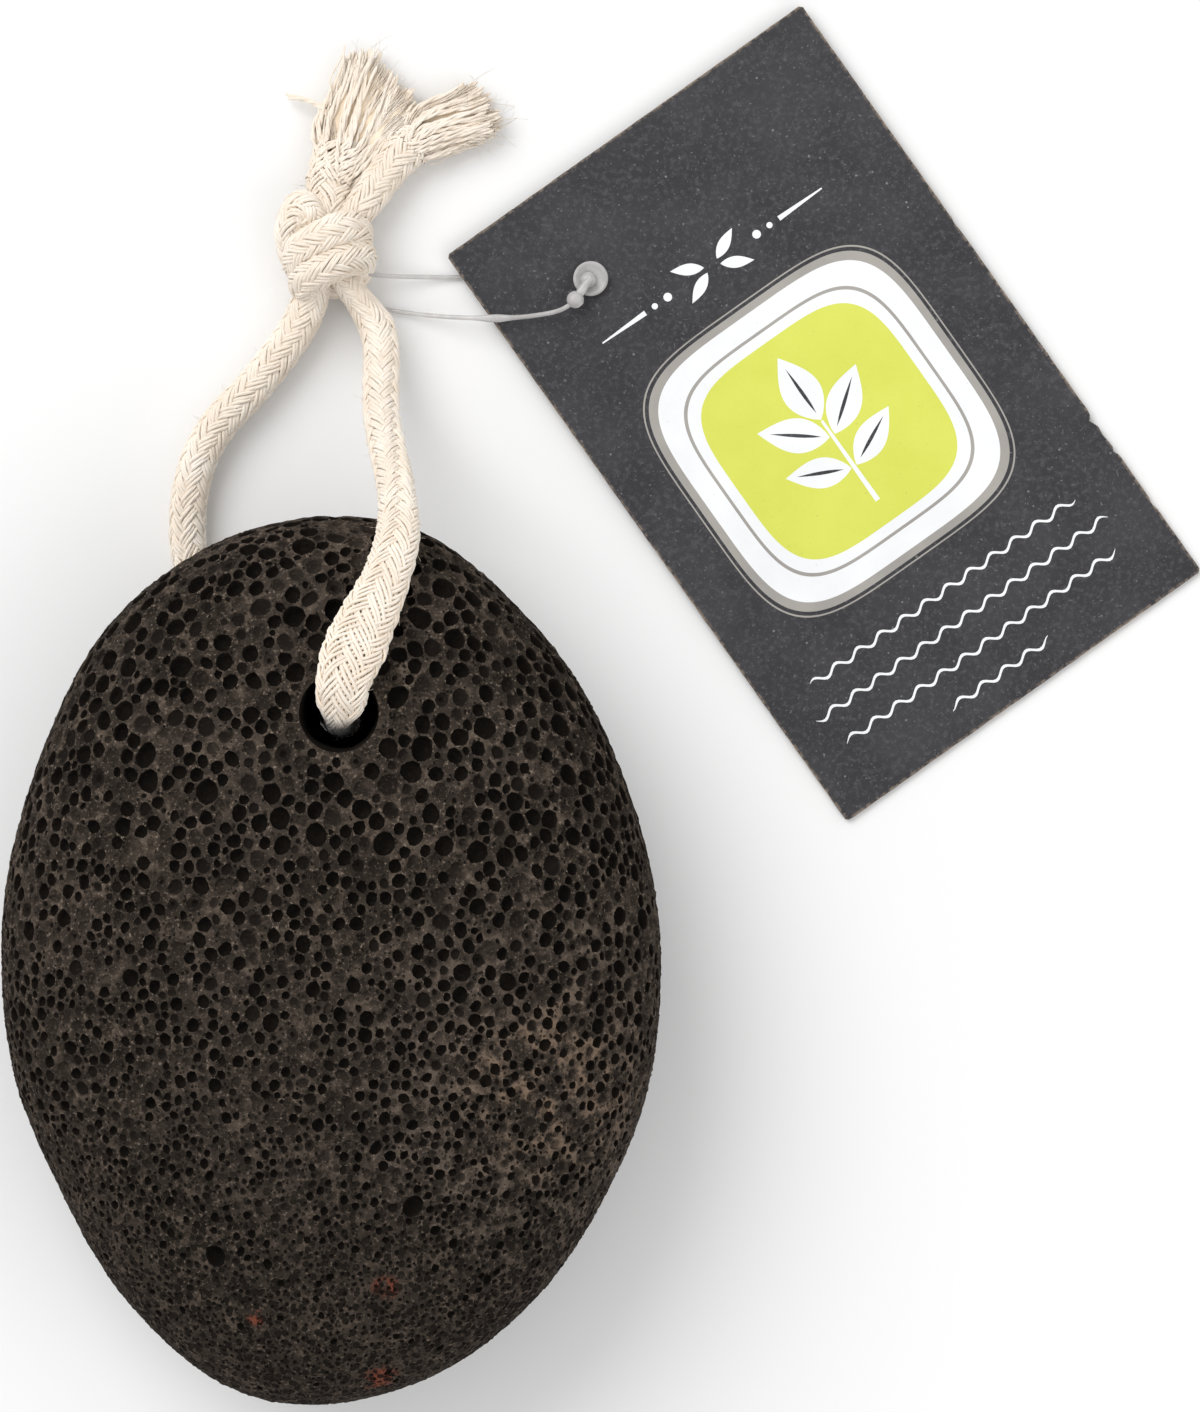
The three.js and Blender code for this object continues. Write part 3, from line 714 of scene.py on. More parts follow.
def skin_of_cord(first, last):
    """A way to pick random places on the cord's skin, with an outward direction."""
    low = cord_line.length_at(first)
    high = cord_line.length_at(last)

    def pick():
        run = np.array([low + (high - low) * random.random()])
        place, along, across, other = cord_line.at(run)
        angle = random.random() * 2 * math.pi
        x = np.array([HAIR_FOOT_RADIUS * math.cos(angle)])
        y = np.array([HAIR_FOOT_RADIUS * math.sin(angle)])
        start = cord_section(run, x, y, place, across, other)[0]
        out = unit(start - place[0])
        return start, unit(out * 0.6 + along[0] * random.gauss(0, 0.7))

    return pick


def tip_of_fray(tips, place, height):
    """A way to pick random places near the tips of a frayed end."""

    def pick():
        x, y = point_on(tips, random.random())
        tip = np.array((x, y, height + random.gauss(0, 0.6)))
        start = place + (tip - place) * (0.55 + 0.42 * random.random())
        return start, unit(unit(tip - place) + scatter(0.5, 0.5, 0.3))

    return pick


def add_stray(tubes, points, plies, thickness):
    line, _ = smooth_route(points, 12)
    add_plies(tubes, line, plies, thickness, 0.05)


def build_tail(name, node, material, braid_from, braid_to, late, tips):
    """One short end of the cord: its last braided stretch, and the brush that it opens into."""
    tubes = TubeSet()
    low, high = sorted((braid_from, braid_to))
    add_braid(tubes, low, high)
    direction = 1 if braid_to > braid_from else -1
    for add_part in (add_fray, add_batt, add_combed_fibres):
        add_part(tubes, braid_to, direction, late, tips, FRAY_HEIGHT)
    if direction < 0:
        add_stray(tubes, THICK_STRAY, 3, 0.19)
        for points in FINE_STRAYS:
            add_stray(tubes, points, 1, 0.11)
    end, _ = opened_end(braid_to)
    add_hairs(tubes, TIP_HAIRS, tip_of_fray(tips, end, FRAY_HEIGHT), 2.0)
    add_hairs(tubes, END_HAIRS, skin_of_cord(low, high), 1.0)
    tail = tubes.build(name, material)
    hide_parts(node)
    return tail


# Hang tag


def on_card(u, v):
    """A place of the card's plane, level with the surface."""
    c, s = math.cos(TAG_TURN), math.sin(TAG_TURN)
    return TAG_CENTRE[0] + u * c - v * s, TAG_CENTRE[1] + u * s + v * c


def from_card(x, y):
    c, s = math.cos(TAG_TURN), math.sin(TAG_TURN)
    x, y = x - TAG_CENTRE[0], y - TAG_CENTRE[1]
    return x * c + y * s, -x * s + y * c


def card_points(flat, height):
    """Points of the slightly bowed card, from places in its plane and heights in its thickness."""
    flat = np.asarray(flat, float)
    x, y = on_card(flat[:, 0], flat[:, 1])
    share = 0.5 + flat[:, 1] / TAG_LENGTH
    lean = TAG_LOW_EDGE_Z + share * (TAG_HIGH_EDGE_Z - TAG_LOW_EDGE_Z)
    bow = 0.16 * np.sin(np.pi * np.clip(share, 0, 1)) * (1 - (2 * flat[:, 0] / TAG_WIDTH) ** 2 * 0.5)
    return np.stack([x, y, lean + bow + height], axis=1)


def card_outline(inset):
    """The card's cut edge, anticlockwise, with tiny waves, worn corners and nicks on one side."""
    w, l = TAG_WIDTH / 2 - inset, TAG_LENGTH / 2 - inset
    corner = 0.35
    sides = [((w, -l + corner), (w, l - corner)), ((w - corner, l), (-w + corner, l)),
             ((-w, l - corner), (-w, -l + corner)), ((-w + corner, -l), (w - corner, -l))]
    points = []
    for index, (a, b) in enumerate(sides):
        length = math.dist(a, b)
        steps = int(length / 0.55)
        for k in range(steps + 1):
            t = k / steps
            u = a[0] + (b[0] - a[0]) * t
            v = a[1] + (b[1] - a[1]) * t
            wave = 0.012 * math.sin(1.7 * (u + v)) + 0.01 * math.sin(4.3 * (u - v) + index)
            if index == 0:
                for at, depth, width in TAG_NICKS:
                    wave -= depth * math.exp(-(((v - at) / width) ** 2))
            out = ((1, 0), (0, 1), (-1, 0), (0, -1))[index]
            points.append((u + out[0] * wave, v + out[1] * wave))
    return points


def superellipse(half, power, count):
    """A square with rounded sides, about the emblem's middle."""
    points = []
    for k in range(count):
        a = 2 * math.pi * k / count
        c, s = math.cos(a), math.sin(a)
        u = half * math.copysign(abs(c) ** (2 / power), c)
        v = half * math.copysign(abs(s) ** (2 / power), s)
        points.append((EMBLEM_MIDDLE[0] + u, EMBLEM_MIDDLE[1] + v))
    return points


def circle(middle, radius, count):
    angles = [2 * math.pi * k / count for k in range(count)]
    return [(middle[0] + radius * math.cos(a), middle[1] + radius * math.sin(a)) for a in angles]


def leaf(foot, angle, length, width, count=16):
    """A pointed leaf from its foot."""
    c, s = math.cos(angle), math.sin(angle)
    right = []
    left = []
    for k in range(count + 1):
        t = k / count
        half = width / 2 * math.sin(math.pi * t ** 0.85) if 0 < k < count else 0.0
        along = length * t
        right.append((foot[0] + along * c + half * s, foot[1] + along * s - half * c))
        left.append((foot[0] + along * c - half * s, foot[1] + along * s + half * c))
    return right + left[-2:0:-1]


def emblem_place(u, v):
    return EMBLEM_MIDDLE[0] + u, EMBLEM_MIDDLE[1] + v


def sprig_shapes():
    """A plain sprig: five leaves on a short stem, each with a vein."""
    shapes = []
    leaves = [(0.0, SPRIG_TOP, 90, 8.6, 4.5)]
    for v, angle, length, width in SPRIG_PAIRS:
        leaves.append((0.34, v, angle, length, width))
        leaves.append((-0.34, v, 180 - angle, length, width))
    for u, v, angle, length, width in leaves:
        a = math.radians(angle)
        shapes.append((leaf(emblem_place(u, v), a, length, width), WHITE))
        vein_foot = emblem_place(u + 0.9 * math.cos(a), v + 0.9 * math.sin(a))
        shapes.append((leaf(vein_foot, a, length * 0.72, 0.42, 6), CARD))
    low = emblem_place(0, SPRIG_FOOT)
    high = emblem_place(0, SPRIG_TOP - 0.12)
    foot = [(low[0] - 0.3, low[1]), (low[0] + 0.3, low[1])]
    shapes.append((foot + [(high[0] + 0.16, high[1]), (high[0] - 0.16, high[1])], WHITE))
    return shapes


def heading_shapes():
    """A row ornament: a leaf pair in the middle, dots, and two tapering rules."""
    u0 = EMBLEM_MIDDLE[0]
    shapes = []
    for way in (1, -1):
        angle = 0 if way > 0 else math.pi
        for up in (1, -1):
            foot = (u0 + way * 0.9, HEADING_V + up * 0.35)
            shapes.append((leaf(foot, angle + way * up * 0.5, 3.9, 1.35), WHITE))
        shapes.append((circle((u0 + way * 6.2, HEADING_V), 0.5, 16), WHITE))
        shapes.append((circle((u0 + way * 8.0, HEADING_V), 0.36, 14), WHITE))
        inner, outer = u0 + way * 9.3, u0 + way * HEADING_HALF
        rule = [(inner, HEADING_V - 0.3), (outer, HEADING_V - 0.08)]
        rule += [(outer, HEADING_V + 0.08), (inner, HEADING_V + 0.3)]
        shapes.append((rule if way > 0 else rule[::-1], WHITE))
    return shapes


def ripple_shapes():
    """Fine wavy rules in four rows."""
    shapes = []
    for v, half in RIPPLES:
        count = int(half * 2 / 0.32)
        upper = []
        lower = []
        for k in range(count + 1):
            u = -half + 2 * half * k / count
            end = min(1.0, (half - abs(u)) / 1.2 + 0.15)
            wave = 0.42 * math.sin(2 * math.pi * u / 3.1)
            upper.append((EMBLEM_MIDDLE[0] + u, v + wave + 0.17 * end))
            lower.append((EMBLEM_MIDDLE[0] + u, v + wave - 0.17 * end))
        shapes.append((lower + upper[::-1], WHITE))
    return shapes


def inside(points, polygon):
    """Which points lie in a polygon."""
    x, y = points[:, 0], points[:, 1]
    hit = np.zeros(len(points), bool)
    corners = np.array(polygon, float)
    for (x0, y0), (x1, y1) in zip(corners, np.roll(corners, -1, axis=0)):
        if y0 == y1:
            continue
        crosses = (y0 > y) != (y1 > y)
        hit ^= crosses & (x < (x1 - x0) * (y - y0) / (y1 - y0) + x0)
    return hit


def build_tag(inks):
    """The card as one mesh, its print cut into its upper face as areas of ink."""
    edge = card_outline(0.0)
    rim = card_outline(0.07)
    hole = circle(from_card(*HEAD), TAG_HOLE_RADIUS, 28)
    shapes = [(superellipse(half, power, count), ink) for half, power, count, ink in EMBLEM_FRAMES]
    shapes += sprig_shapes() + heading_shapes() + ripple_shapes()
    flat = []
    edges = []
    for polygon in [rim, hole] + [p for p, _ in shapes]:
        first = len(flat)
        flat.extend(polygon)
        edges.extend((first + k, first + (k + 1) % len(polygon)) for k in range(len(polygon)))
    for u in np.arange(-TAG_WIDTH / 2 + 1.3, TAG_WIDTH / 2 - 1, 2.2):
        for v in np.arange(-TAG_LENGTH / 2 + 1.3, TAG_LENGTH / 2 - 1, 2.2):
            flat.append((u + 0.01 * math.sin(9 * v), v + 0.01 * math.sin(7 * u)))
    found = delaunay_2d_cdt([Vector(p) for p in flat], edges, [], 0, 1e-6, False)
    places = np.array([tuple(p) for p in found[0]])
    triangles = np.array(found[2])
    middles = places[triangles].mean(axis=1)
    keep = inside(middles, rim) & ~inside(middles, hole)
    triangles, middles = triangles[keep], middles[keep]
    ink = np.full(len(triangles), CARD)
    for polygon, number in shapes:
        ink[inside(middles, polygon)] = number
    count = len(places)
    points = [card_points(places, TAG_THICKNESS), card_points(places, 0.0)]
    faces = triangles.tolist() + (triangles[:, ::-1] + count).tolist()
    slots = ink.tolist() + [CARD] * len(triangles)
    strips = [(rim, TAG_THICKNESS), (edge, TAG_THICKNESS - 0.06), (edge, 0.06), (rim, 0.0)]
    add_wall(points, faces, slots, strips)
    add_wall(points, faces, slots, [(hole[::-1], TAG_THICKNESS), (hole[::-1], 0.0)])
    points = np.concatenate(points)
    obj = make_object("hang_tag_card", points, faces, inks, smooth=False)
    obj.data.polygons.foreach_set("material_index", np.array(slots, np.int32))
    u, v = from_card(points[:, 0], points[:, 1])
    corners = np.concatenate([np.array(f) for f in faces])
    layer = obj.data.uv_layers.new(name="card")
    layer.data.foreach_set("uv", np.stack([u[corners], v[corners]], axis=1).astype(np.float32).ravel())
    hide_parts("hang_tag")


def add_wall(points, faces, slots, strips):
    """The card's cut edge, as strips between outlines at heights in its thickness."""
    total = sum(len(p) for p in points)
    for outline, height in strips:
        points.append(card_points(outline, height))
    count = len(strips[0][0])
    for row in range(len(strips) - 1):
        base = total + row * count
        for k in range(count):
            n = (k + 1) % count
            faces.append([base + k, base + count + k, base + count + n, base + n])
            slots.append(CARD_EDGE)


# Plastic loop


def turned(profile, sides, centre):
    """A closed turned shape from pairs of radius and height, about an upright axis."""
    points = []
    for radius, height in profile:
        for k in range(sides):
            a = 2 * math.pi * k / sides
            points.append((centre[0] + radius * math.cos(a), centre[1] + radius * math.sin(a), height))
    faces = []
    for row in range(len(profile) - 1):
        for k in range(sides):
            n = (k + 1) % sides
            a = row * sides
            faces.append((a + k, a + n, a + sides + n, a + sides + k))
    faces.append(tuple(range(sides))[::-1])
    faces.append(tuple(range((len(profile) - 1) * sides, len(profile) * sides)))
    return points, faces


def rounded_profile(radius, low, high, corner):
    """Half the outline of a disc with rounded edges, from below to above."""
    profile = [(radius * 0.02, low)]
    for k in range(ROUNDING_STEPS + 1):
        a = -math.pi / 2 + math.pi / 2 * k / ROUNDING_STEPS
        profile.append((radius - corner + corner * math.cos(a), low + corner + corner * math.sin(a)))
    for k in range(ROUNDING_STEPS + 1):
        a = math.pi / 2 * k / ROUNDING_STEPS
        profile.append((radius - corner + corner * math.cos(a), high - corner + corner * math.sin(a)))
    profile.append((radius * 0.02, high))
    return profile


def head_profile(low, high):
    """The snap head: a disc with a low rim round its upper face."""
    outer = rounded_profile(HEAD_RADIUS, low, high, 0.2)[:-1]
    dish = high - 0.16
    return outer + [(HEAD_RADIUS - 0.4, high), (HEAD_RADIUS - 0.52, dish), (HEAD_RADIUS * 0.02, dish)]


def card_top(x, y):
    """Height of the card's upper face at a place."""
    u, v = from_card(x, y)
    return float(card_points([(u, v)], TAG_THICKNESS)[0][2])


def sphere_profile(radius, height, squash):
    """Half the outline of a flattened ball, from below to above."""
    profile = []
    for k in range(BALL_STEPS + 1):
        a = -math.pi / 2 + math.pi * k / BALL_STEPS
        profile.append((max(radius * math.cos(a), 0.01), height + squash * radius * math.sin(a)))
    return profile


def build_fastener(material):
    """The moulded loop: a round filament with a pressed flat, a bead, a neck and a snap head."""
    line = Line(FILAMENT_ROUTE, 16)
    run = np.linspace(0, line.run[-1], FILAMENT_RINGS)
    place, along, across, _ = line.at(run)
    up = UP - along * along[:, 2:3]
    steep = np.linalg.norm(up, axis=1) < 0.35
    up[steep] = across[steep]
    number = np.interp(run, line.run, line.numbers)
    count = len(FILAMENT_ROUTE)
    pressed = np.exp(-((number - (count - 6.1)) / 0.35) ** 2)
    neck = soft_step(number, count - 3.4, count - 2.6)
    out = FILAMENT_RADIUS * (1 - 0.3 * pressed + 0.55 * neck)
    side = FILAMENT_RADIUS * (1 + 0.75 * pressed + 0.8 * neck)
    tubes = TubeSet()
    tubes.add(place, up, out, side, FILAMENT_SIDES)
    points = list(np.concatenate(tubes.points))
    faces = np.concatenate(tubes.faces).tolist()
    head_low = card_top(*HEAD) + 0.22
    head_high = head_low + HEAD_THICKNESS
    shapes = [
        turned(head_profile(head_low, head_high), 40, HEAD),
        turned(sphere_profile(0.95, head_high, 0.8), 28, (HEAD[0] - 0.25, HEAD[1] - 0.15)),
        turned(sphere_profile(BEAD_RADIUS, BEAD[2], 0.82), 28, BEAD[:2]),
    ]
    for more_points, more_faces in shapes:
        first = len(points)
        points.extend(more_points)
        faces.extend([tuple(i + first for i in f) for f in more_faces])
    obj = make_object("moulded_tag_loop", np.array(points), faces, [material])
    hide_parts("tag_fastener")
    return obj


# Stone


def outline_radius(angle):
    """A smooth closed curve through the outline's distances."""
    radii = np.array(STONE_OUTLINE)
    count = len(radii)
    place = (angle / (2 * np.pi) * count) % count
    first = np.floor(place).astype(int)
    t = place - first
    p0, p1, p2, p3 = (radii[(first + k) % count] for k in (-1, 0, 1, 2))
    bend = 2 * p0 - 5 * p1 + 4 * p2 - p3
    twist = 3 * p1 - p0 - 3 * p2 + p3
    return 0.5 * (2 * p1 + (p2 - p0) * t + bend * t * t + twist * t * t * t)


def swell(p):
    """Low swells of the surface, as a share of the stone's unevenness."""
    low = 0.6 * np.sin(p[:, 0] / 7.1 + 1.3) * np.cos(p[:, 1] / 9.7 - 0.4)
    return low + 0.5 * np.sin(p[:, 1] / 5.3 + p[:, 2] / 6.1) * np.cos(p[:, 0] / 5.9 - p[:, 2] / 7.7)


def skin(direction):
    """Points of the smooth stone, from its middle, in these directions."""
    d = unit(direction)
    on_top = d[:, 2] >= 0
    power = np.where(on_top, STONE_TOP["fullness"], STONE_UNDERSIDE["fullness"])
    height = np.where(on_top, STONE_TOP["height"], STONE_UNDERSIDE["height"])
    across = np.hypot(d[:, 0], d[:, 1]) / outline_radius(np.arctan2(d[:, 1], d[:, 0]))
    up = np.abs(d[:, 2]) / height
    reach = (across ** power + up ** power) ** (-1 / power)
    p = d * reach[:, None]
    return p + d * (STONE_UNEVENNESS * swell(p))[:, None]


def skin_normals(points):
    """Outward directions of the smooth stone at points on it."""
    helper = np.where(np.abs(points[:, 2:3]) < 15, (0.0, 0.0, 1.0), (0.0, 1.0, 0.0))
    first = unit(np.cross(points, helper))
    second = unit(np.cross(points, first))
    step = 0.3
    a = skin(points + first * step) - skin(points - first * step)
    b = skin(points + second * step) - skin(points - second * step)
    normal = unit(np.cross(a, b))
    return normal * np.sign(np.sum(normal * points, axis=1))[:, None]


def top_point(x, y):
    """The point on top of the stone at a place seen from above, from the stone's middle."""
    h = math.hypot(x, y)
    edge = float(outline_radius(np.array([math.atan2(y, x)]))[0])
    share = max(0.0, 1 - (min(h / edge, 0.999)) ** STONE_TOP["fullness"])
    z = STONE_TOP["height"] * share ** (1 / STONE_TOP["fullness"])
    return skin(np.array([[x, y, z]]))[0]


def local_pit_size(points):
    ys, sizes = zip(*PIT_SIZE_BY_Y)
    size = np.interp(points[:, 1], ys, sizes)
    patchy = 0.12 * np.sin(points[:, 0] / 5.1 + 0.7) * np.sin(points[:, 1] / 6.3 + points[:, 2] / 4.0)
    side = soft_step(-points[:, 2], -9.0, 2.0)
    size = size * (1 + patchy) * (1 - 0.22 * side * soft_step(-points[:, 1], -20, 10))
    below = np.maximum(size * UNDERSIDE_PIT_GROWTH, UNDERSIDE_PIT_SIZE)
    return np.where(points[:, 2] < -6, below, size)


def candidate_places(count):
    """Places spread evenly by area over the stone."""
    d = rng.normal(size=(count * 6, 3)) * STONE_HALF_SIZES
    p = skin(d)
    n = skin_normals(p)
    r = np.linalg.norm(p, axis=1)
    outward = p / r[:, None]
    sent = np.linalg.norm(outward / STONE_HALF_SIZES, axis=1) ** 3
    spread = r ** 2 / np.sum(n * outward, axis=1) * sent
    keep = rng.random(len(p)) < spread / np.quantile(spread, 0.995)
    return p[keep][:count]


def place_pits():
    """Middles and radii of pits that keep a thin wall between them, the named ones first."""
    middles = [top_point(x, y) for x, y, _ in BIG_PITS]
    radii = [r for _, _, r in BIG_PITS]
    middles.append(skin(-UP[None, :])[0])
    radii.append(POLE_PIT)
    for level, share in PIT_LEVELS:
        places = candidate_places(PIT_CANDIDATES)
        size = local_pit_size(places) * level * (0.94 + 0.12 * rng.random(len(places)))
        wall = 0.04 + (0.02 + 0.18 * rng.random(len(places))) * size
        tree = search_tree(middles)
        reach = max(radii)
        cell = 2 * float(size.max()) + 0.4
        grid = {}
        used = 0.0
        for p, r, w in zip(places.tolist(), size.tolist(), wall.tolist()):
            if used > share * STONE_AREA:
                break
            if r < SMALLEST_PIT:
                continue
            hx = p[0] + STONE_SHIFT[0] - HOLE_X
            hy = p[1] + STONE_SHIFT[1] - HOLE_Y
            mouth = TOP_MOUTH_RADIUS if p[2] > 0 else LOWER_MOUTH_RADIUS
            if hx * hx + hy * hy < (mouth + 1.12 * r + 0.08) ** 2:
                continue
            if any(d < PIT_OVERLAP * (r + radii[i]) + w for _, i, d in tree.find_range(p, r + reach + w)):
                continue
            key = (int(p[0] // cell), int(p[1] // cell), int(p[2] // cell))
            near = [
                i
                for a in (-1, 0, 1) for b in (-1, 0, 1) for c in (-1, 0, 1)
                for i in grid.get((key[0] + a, key[1] + b, key[2] + c), ())
            ]
            if any(math.dist(middles[i], p) < PIT_OVERLAP * (r + radii[i]) + w for i in near):
                continue
            grid.setdefault(key, []).append(len(radii))
            middles.append(p)
            radii.append(r)
            used += math.pi * r * r
    return np.array(middles, float), np.array(radii)


def pit_rings(radius, deep, double):
    """A pit's rim sides, its rings below the rim as shares of width and depth, and its depth share."""
    sides = next((count for above, count in PIT_SIDES if radius > above), FEWEST_PIT_SIDES)
    if double:
        return sides, [(0.78, 0.26), (0.4, 0.36)], 0.95
    if deep and radius > 0.42:
        return sides, [(0.95, 0.75)], 1.3
    if deep:
        return sides, [], 1.15
    if radius > 0.5:
        return sides, [(0.8, 0.34)], 0.5
    return sides, [], 0.55


class StoneMesh:
    """Points of the stone with the ring that each belongs to, and its triangles."""

    def __init__(self):
        self.points = []
        self.pit_shade = []
        self.ring = []
        self.faces = []
        self.sharp_rings = set()

    def add(self, points, pit_shade, ring):
        first = len(self.points)
        self.points.extend(points)
        self.pit_shade.extend([pit_shade] * len(points))
        self.ring.extend([ring] * len(points))
        return list(range(first, first + len(points)))

    def band(self, upper, lower):
        count = len(upper)
        for k in range(count):
            n = (k + 1) % count
            self.faces.append((upper[k], upper[n], lower[n], lower[k]))

    def fan(self, ring, middle):
        for k in range(len(ring)):
            self.faces.append((ring[k], ring[(k + 1) % len(ring)], middle))


def pit_neighbours(middles, radii):
    """For each pit, its near neighbours and how far it may reach towards each of them."""
    tree = search_tree(middles)
    largest = float(radii.max())
    limits = []
    for i, m in enumerate(middles):
        found = tree.find_range(m, 1.3 * (radii[i] + largest) + 0.3)
        near = [j for _, j, d in found if j != i and d < 1.35 * (radii[i] + radii[j]) + 0.3]
        gap = middles[near] - m
        d = np.linalg.norm(gap, axis=1)
        wall = PIT_WALL + 0.05 * np.minimum(radii[near], radii[i])
        reach = (d * d + radii[i] ** 2 - radii[near] ** 2) / (2 * d) - wall / 2
        limits.append((gap / d[:, None], reach))
    return limits


def kept_in_cell(offsets, limit):
    """Rim offsets pulled in where they would pass the wall towards a neighbour."""
    towards, reach = limit
    if len(reach) == 0:
        return offsets
    over = offsets @ towards.T
    share = np.where(over > reach, reach / np.maximum(over, 1e-6), 1.0)
    return offsets * share.min(axis=1)[:, None]


def build_pit(stone, index, middle, normal, radius, limit):
    """A rim on the stone's skin, and the bubble cut open below it."""
    is_pole = index == len(BIG_PITS)
    named = index < len(BIG_PITS)
    chance = random.random()
    deep = named or chance < DEEP_SHARE
    double = not named and radius > 0.75 and chance > 0.9
    gloom = SHALLOW_GLOOM[0] + (SHALLOW_GLOOM[1] - SHALLOW_GLOOM[0]) * random.random() ** 1.6
    sides, inner, bottom = pit_rings(radius, deep, double)
    along = np.array((random.gauss(0, 0.45), 1.0, random.gauss(0, 0.3)))
    along = unit(along - normal * np.dot(along, normal))
    side = np.cross(normal, along)
    oval = 1 + 0.16 * random.random()
    start = random.random() * RANDOM_TURN
    angle = start + 2 * np.pi * np.arange(sides) / sides
    lump = random.random() * RANDOM_TURN
    reach = radius * (1 + 0.07 * np.sin(2 * angle + lump) + 0.035 * np.sin(3 * angle + 2 * lump))
    if is_pole:
        oval = 1.0
        reach = np.full(sides, radius)
    offsets = np.outer(reach * oval * np.cos(angle), along) + np.outer(reach / oval * np.sin(angle), side)
    rim = skin(middle + kept_in_cell(offsets, limit))
    if not is_pole:
        rough = np.array([random.gauss(0, 0.05) for _ in range(sides)]) - (0.0 if deep else 0.02)
        rim = rim * (1 + rough / np.linalg.norm(rim, axis=1))[:, None]
    upper = stone.add(rim.tolist(), 0.0, index)
    if deep:
        stone.sharp_rings.add(index)
    skew = scatter(0.06, 0.06, 0.06) * radius
    for width, depth in inner:
        ring = middle + (rim - middle) * width - normal * depth * radius + skew * depth
        if not deep:
            ring = ring + SHADOW_SIDE * (0.16 * radius)
        # Each ring below the rim carries painted shade: full in deep pits, a share of the gloom in shallow
        # ones.
        lower = stone.add(ring.tolist(), 1.0 if deep else 0.8 * gloom, BELOW_RIM)
        stone.band(upper, lower)
        upper = lower
    low = middle - normal * bottom * radius + skew * bottom
    if not deep:
        low = low + SHADOW_SIDE * (0.32 * radius)
    bottom_point = stone.add([low.tolist()], 1.0 if deep or double else gloom, BELOW_RIM)[0]
    stone.fan(upper, bottom_point)


def flare_radius(flare, z):
    """How wide a mouth of the hole is at a height."""
    return float(np.interp(z, [h for _, h in flare], [r for r, _ in flare]))


def mouth_ring(flare, top):
    """Where a mouth of the hole meets the stone's skin, in the frame of the stone's middle."""
    ring = []
    for k in range(HOLE_SIDES):
        angle = 2 * math.pi * k / HOLE_SIDES
        z = STONE_TOP["height"] if top else -STONE_TOP["height"]
        p = np.zeros(3)
        for _ in range(HEIGHT_ROUNDS):
            radius = flare_radius(flare, z + STONE_WIDEST_Z)
            x = HOLE_X - STONE_SHIFT[0] + radius * math.cos(angle)
            y = HOLE_Y - STONE_SHIFT[1] + radius * math.sin(angle)
            p = skin(np.array([[x, y, z]]))[0]
            for _ in range(PLACE_ROUNDS):
                p = skin(np.array([[x, y, p[2]]]))[0]
                p = p * (math.hypot(x, y) / math.hypot(p[0], p[1]))
            z = 0.5 * (z + p[2])
        ring.append([x, y, p[2]])
    return np.array(ring)


def bore_rings():
    """Rings of the bore from the top down: radius, height, and middle."""
    middle = (HOLE_X, HOLE_Y)
    rings = [(radius, height, middle) for radius, height in reversed(HOLE_TOP_FLARE[:-1])]
    rings += [(HOLE_TOP_FLARE[0][0], height, middle) for height in BORE_HEIGHTS]
    rings += [(radius, height, (x, y)) for radius, height, x, y in THROAT]
    halfway = ((HOLE_X + THROAT[-1][2]) / 2, (HOLE_Y + THROAT[-1][3]) / 2)
    rings.append((HOLE_LOWER_FLARE[3][0], HOLE_LOWER_FLARE[3][1], halfway))
    rings += [(radius, height, middle) for radius, height in reversed(HOLE_LOWER_FLARE[1:3])]
    return rings


def add_hole(stone):
    """Both mouths, and the wall between them."""
    top = mouth_ring(HOLE_TOP_FLARE, True)
    low = mouth_ring(HOLE_LOWER_FLARE, False)
    top_ids = stone.add(top.tolist(), 0.05, TOP_MOUTH)
    # The lip just inside the top mouth has full painted shade, so the hole is black right below its rim.
    lip = top + (0, 0, -0.12)
    upper = stone.add(lip.tolist(), 1.0, BELOW_RIM)
    stone.band(top_ids, upper)
    angles = 2 * np.pi * np.arange(HOLE_SIDES) / HOLE_SIDES
    for radius, height, middle in bore_rings():
        z = np.full(HOLE_SIDES, height - STONE_WIDEST_Z)
        z = np.minimum(np.maximum(z, low[:, 2] + 0.2), top[:, 2] - 0.25)
        if height > HOLE_TOP_FLARE[1][1]:
            radius = np.array([flare_radius(HOLE_TOP_FLARE, h + STONE_WIDEST_Z) for h in z])
        elif height < HOLE_LOWER_FLARE[3][1]:
            radius = np.array([flare_radius(HOLE_LOWER_FLARE, h + STONE_WIDEST_Z) for h in z])
        radii = radius + 0.08 * np.sin(5 * angles + height) + 0.06 * np.sin(11 * angles + 2 * height)
        x = middle[0] - STONE_SHIFT[0] + radii * np.cos(angles)
        y = middle[1] - STONE_SHIFT[1] + radii * np.sin(angles)
        # Painted shade in the bore, from none at the lower mouth to full above the lower flare.
        shade = float(np.interp(height, (HOLE_LOWER_FLARE[2][1], HOLE_LOWER_FLARE[4][1]), (0.0, 1.0)))
        lower = stone.add(np.stack([x, y, z], axis=1).tolist(), shade, BELOW_RIM)
        stone.band(upper, lower)
        upper = lower
    low_ids = stone.add(low.tolist(), 0.0, LOWER_MOUTH)
    stone.band(upper, low_ids)
    stone.sharp_rings.update((TOP_MOUTH, LOWER_MOUTH))
    return top_ids, low_ids


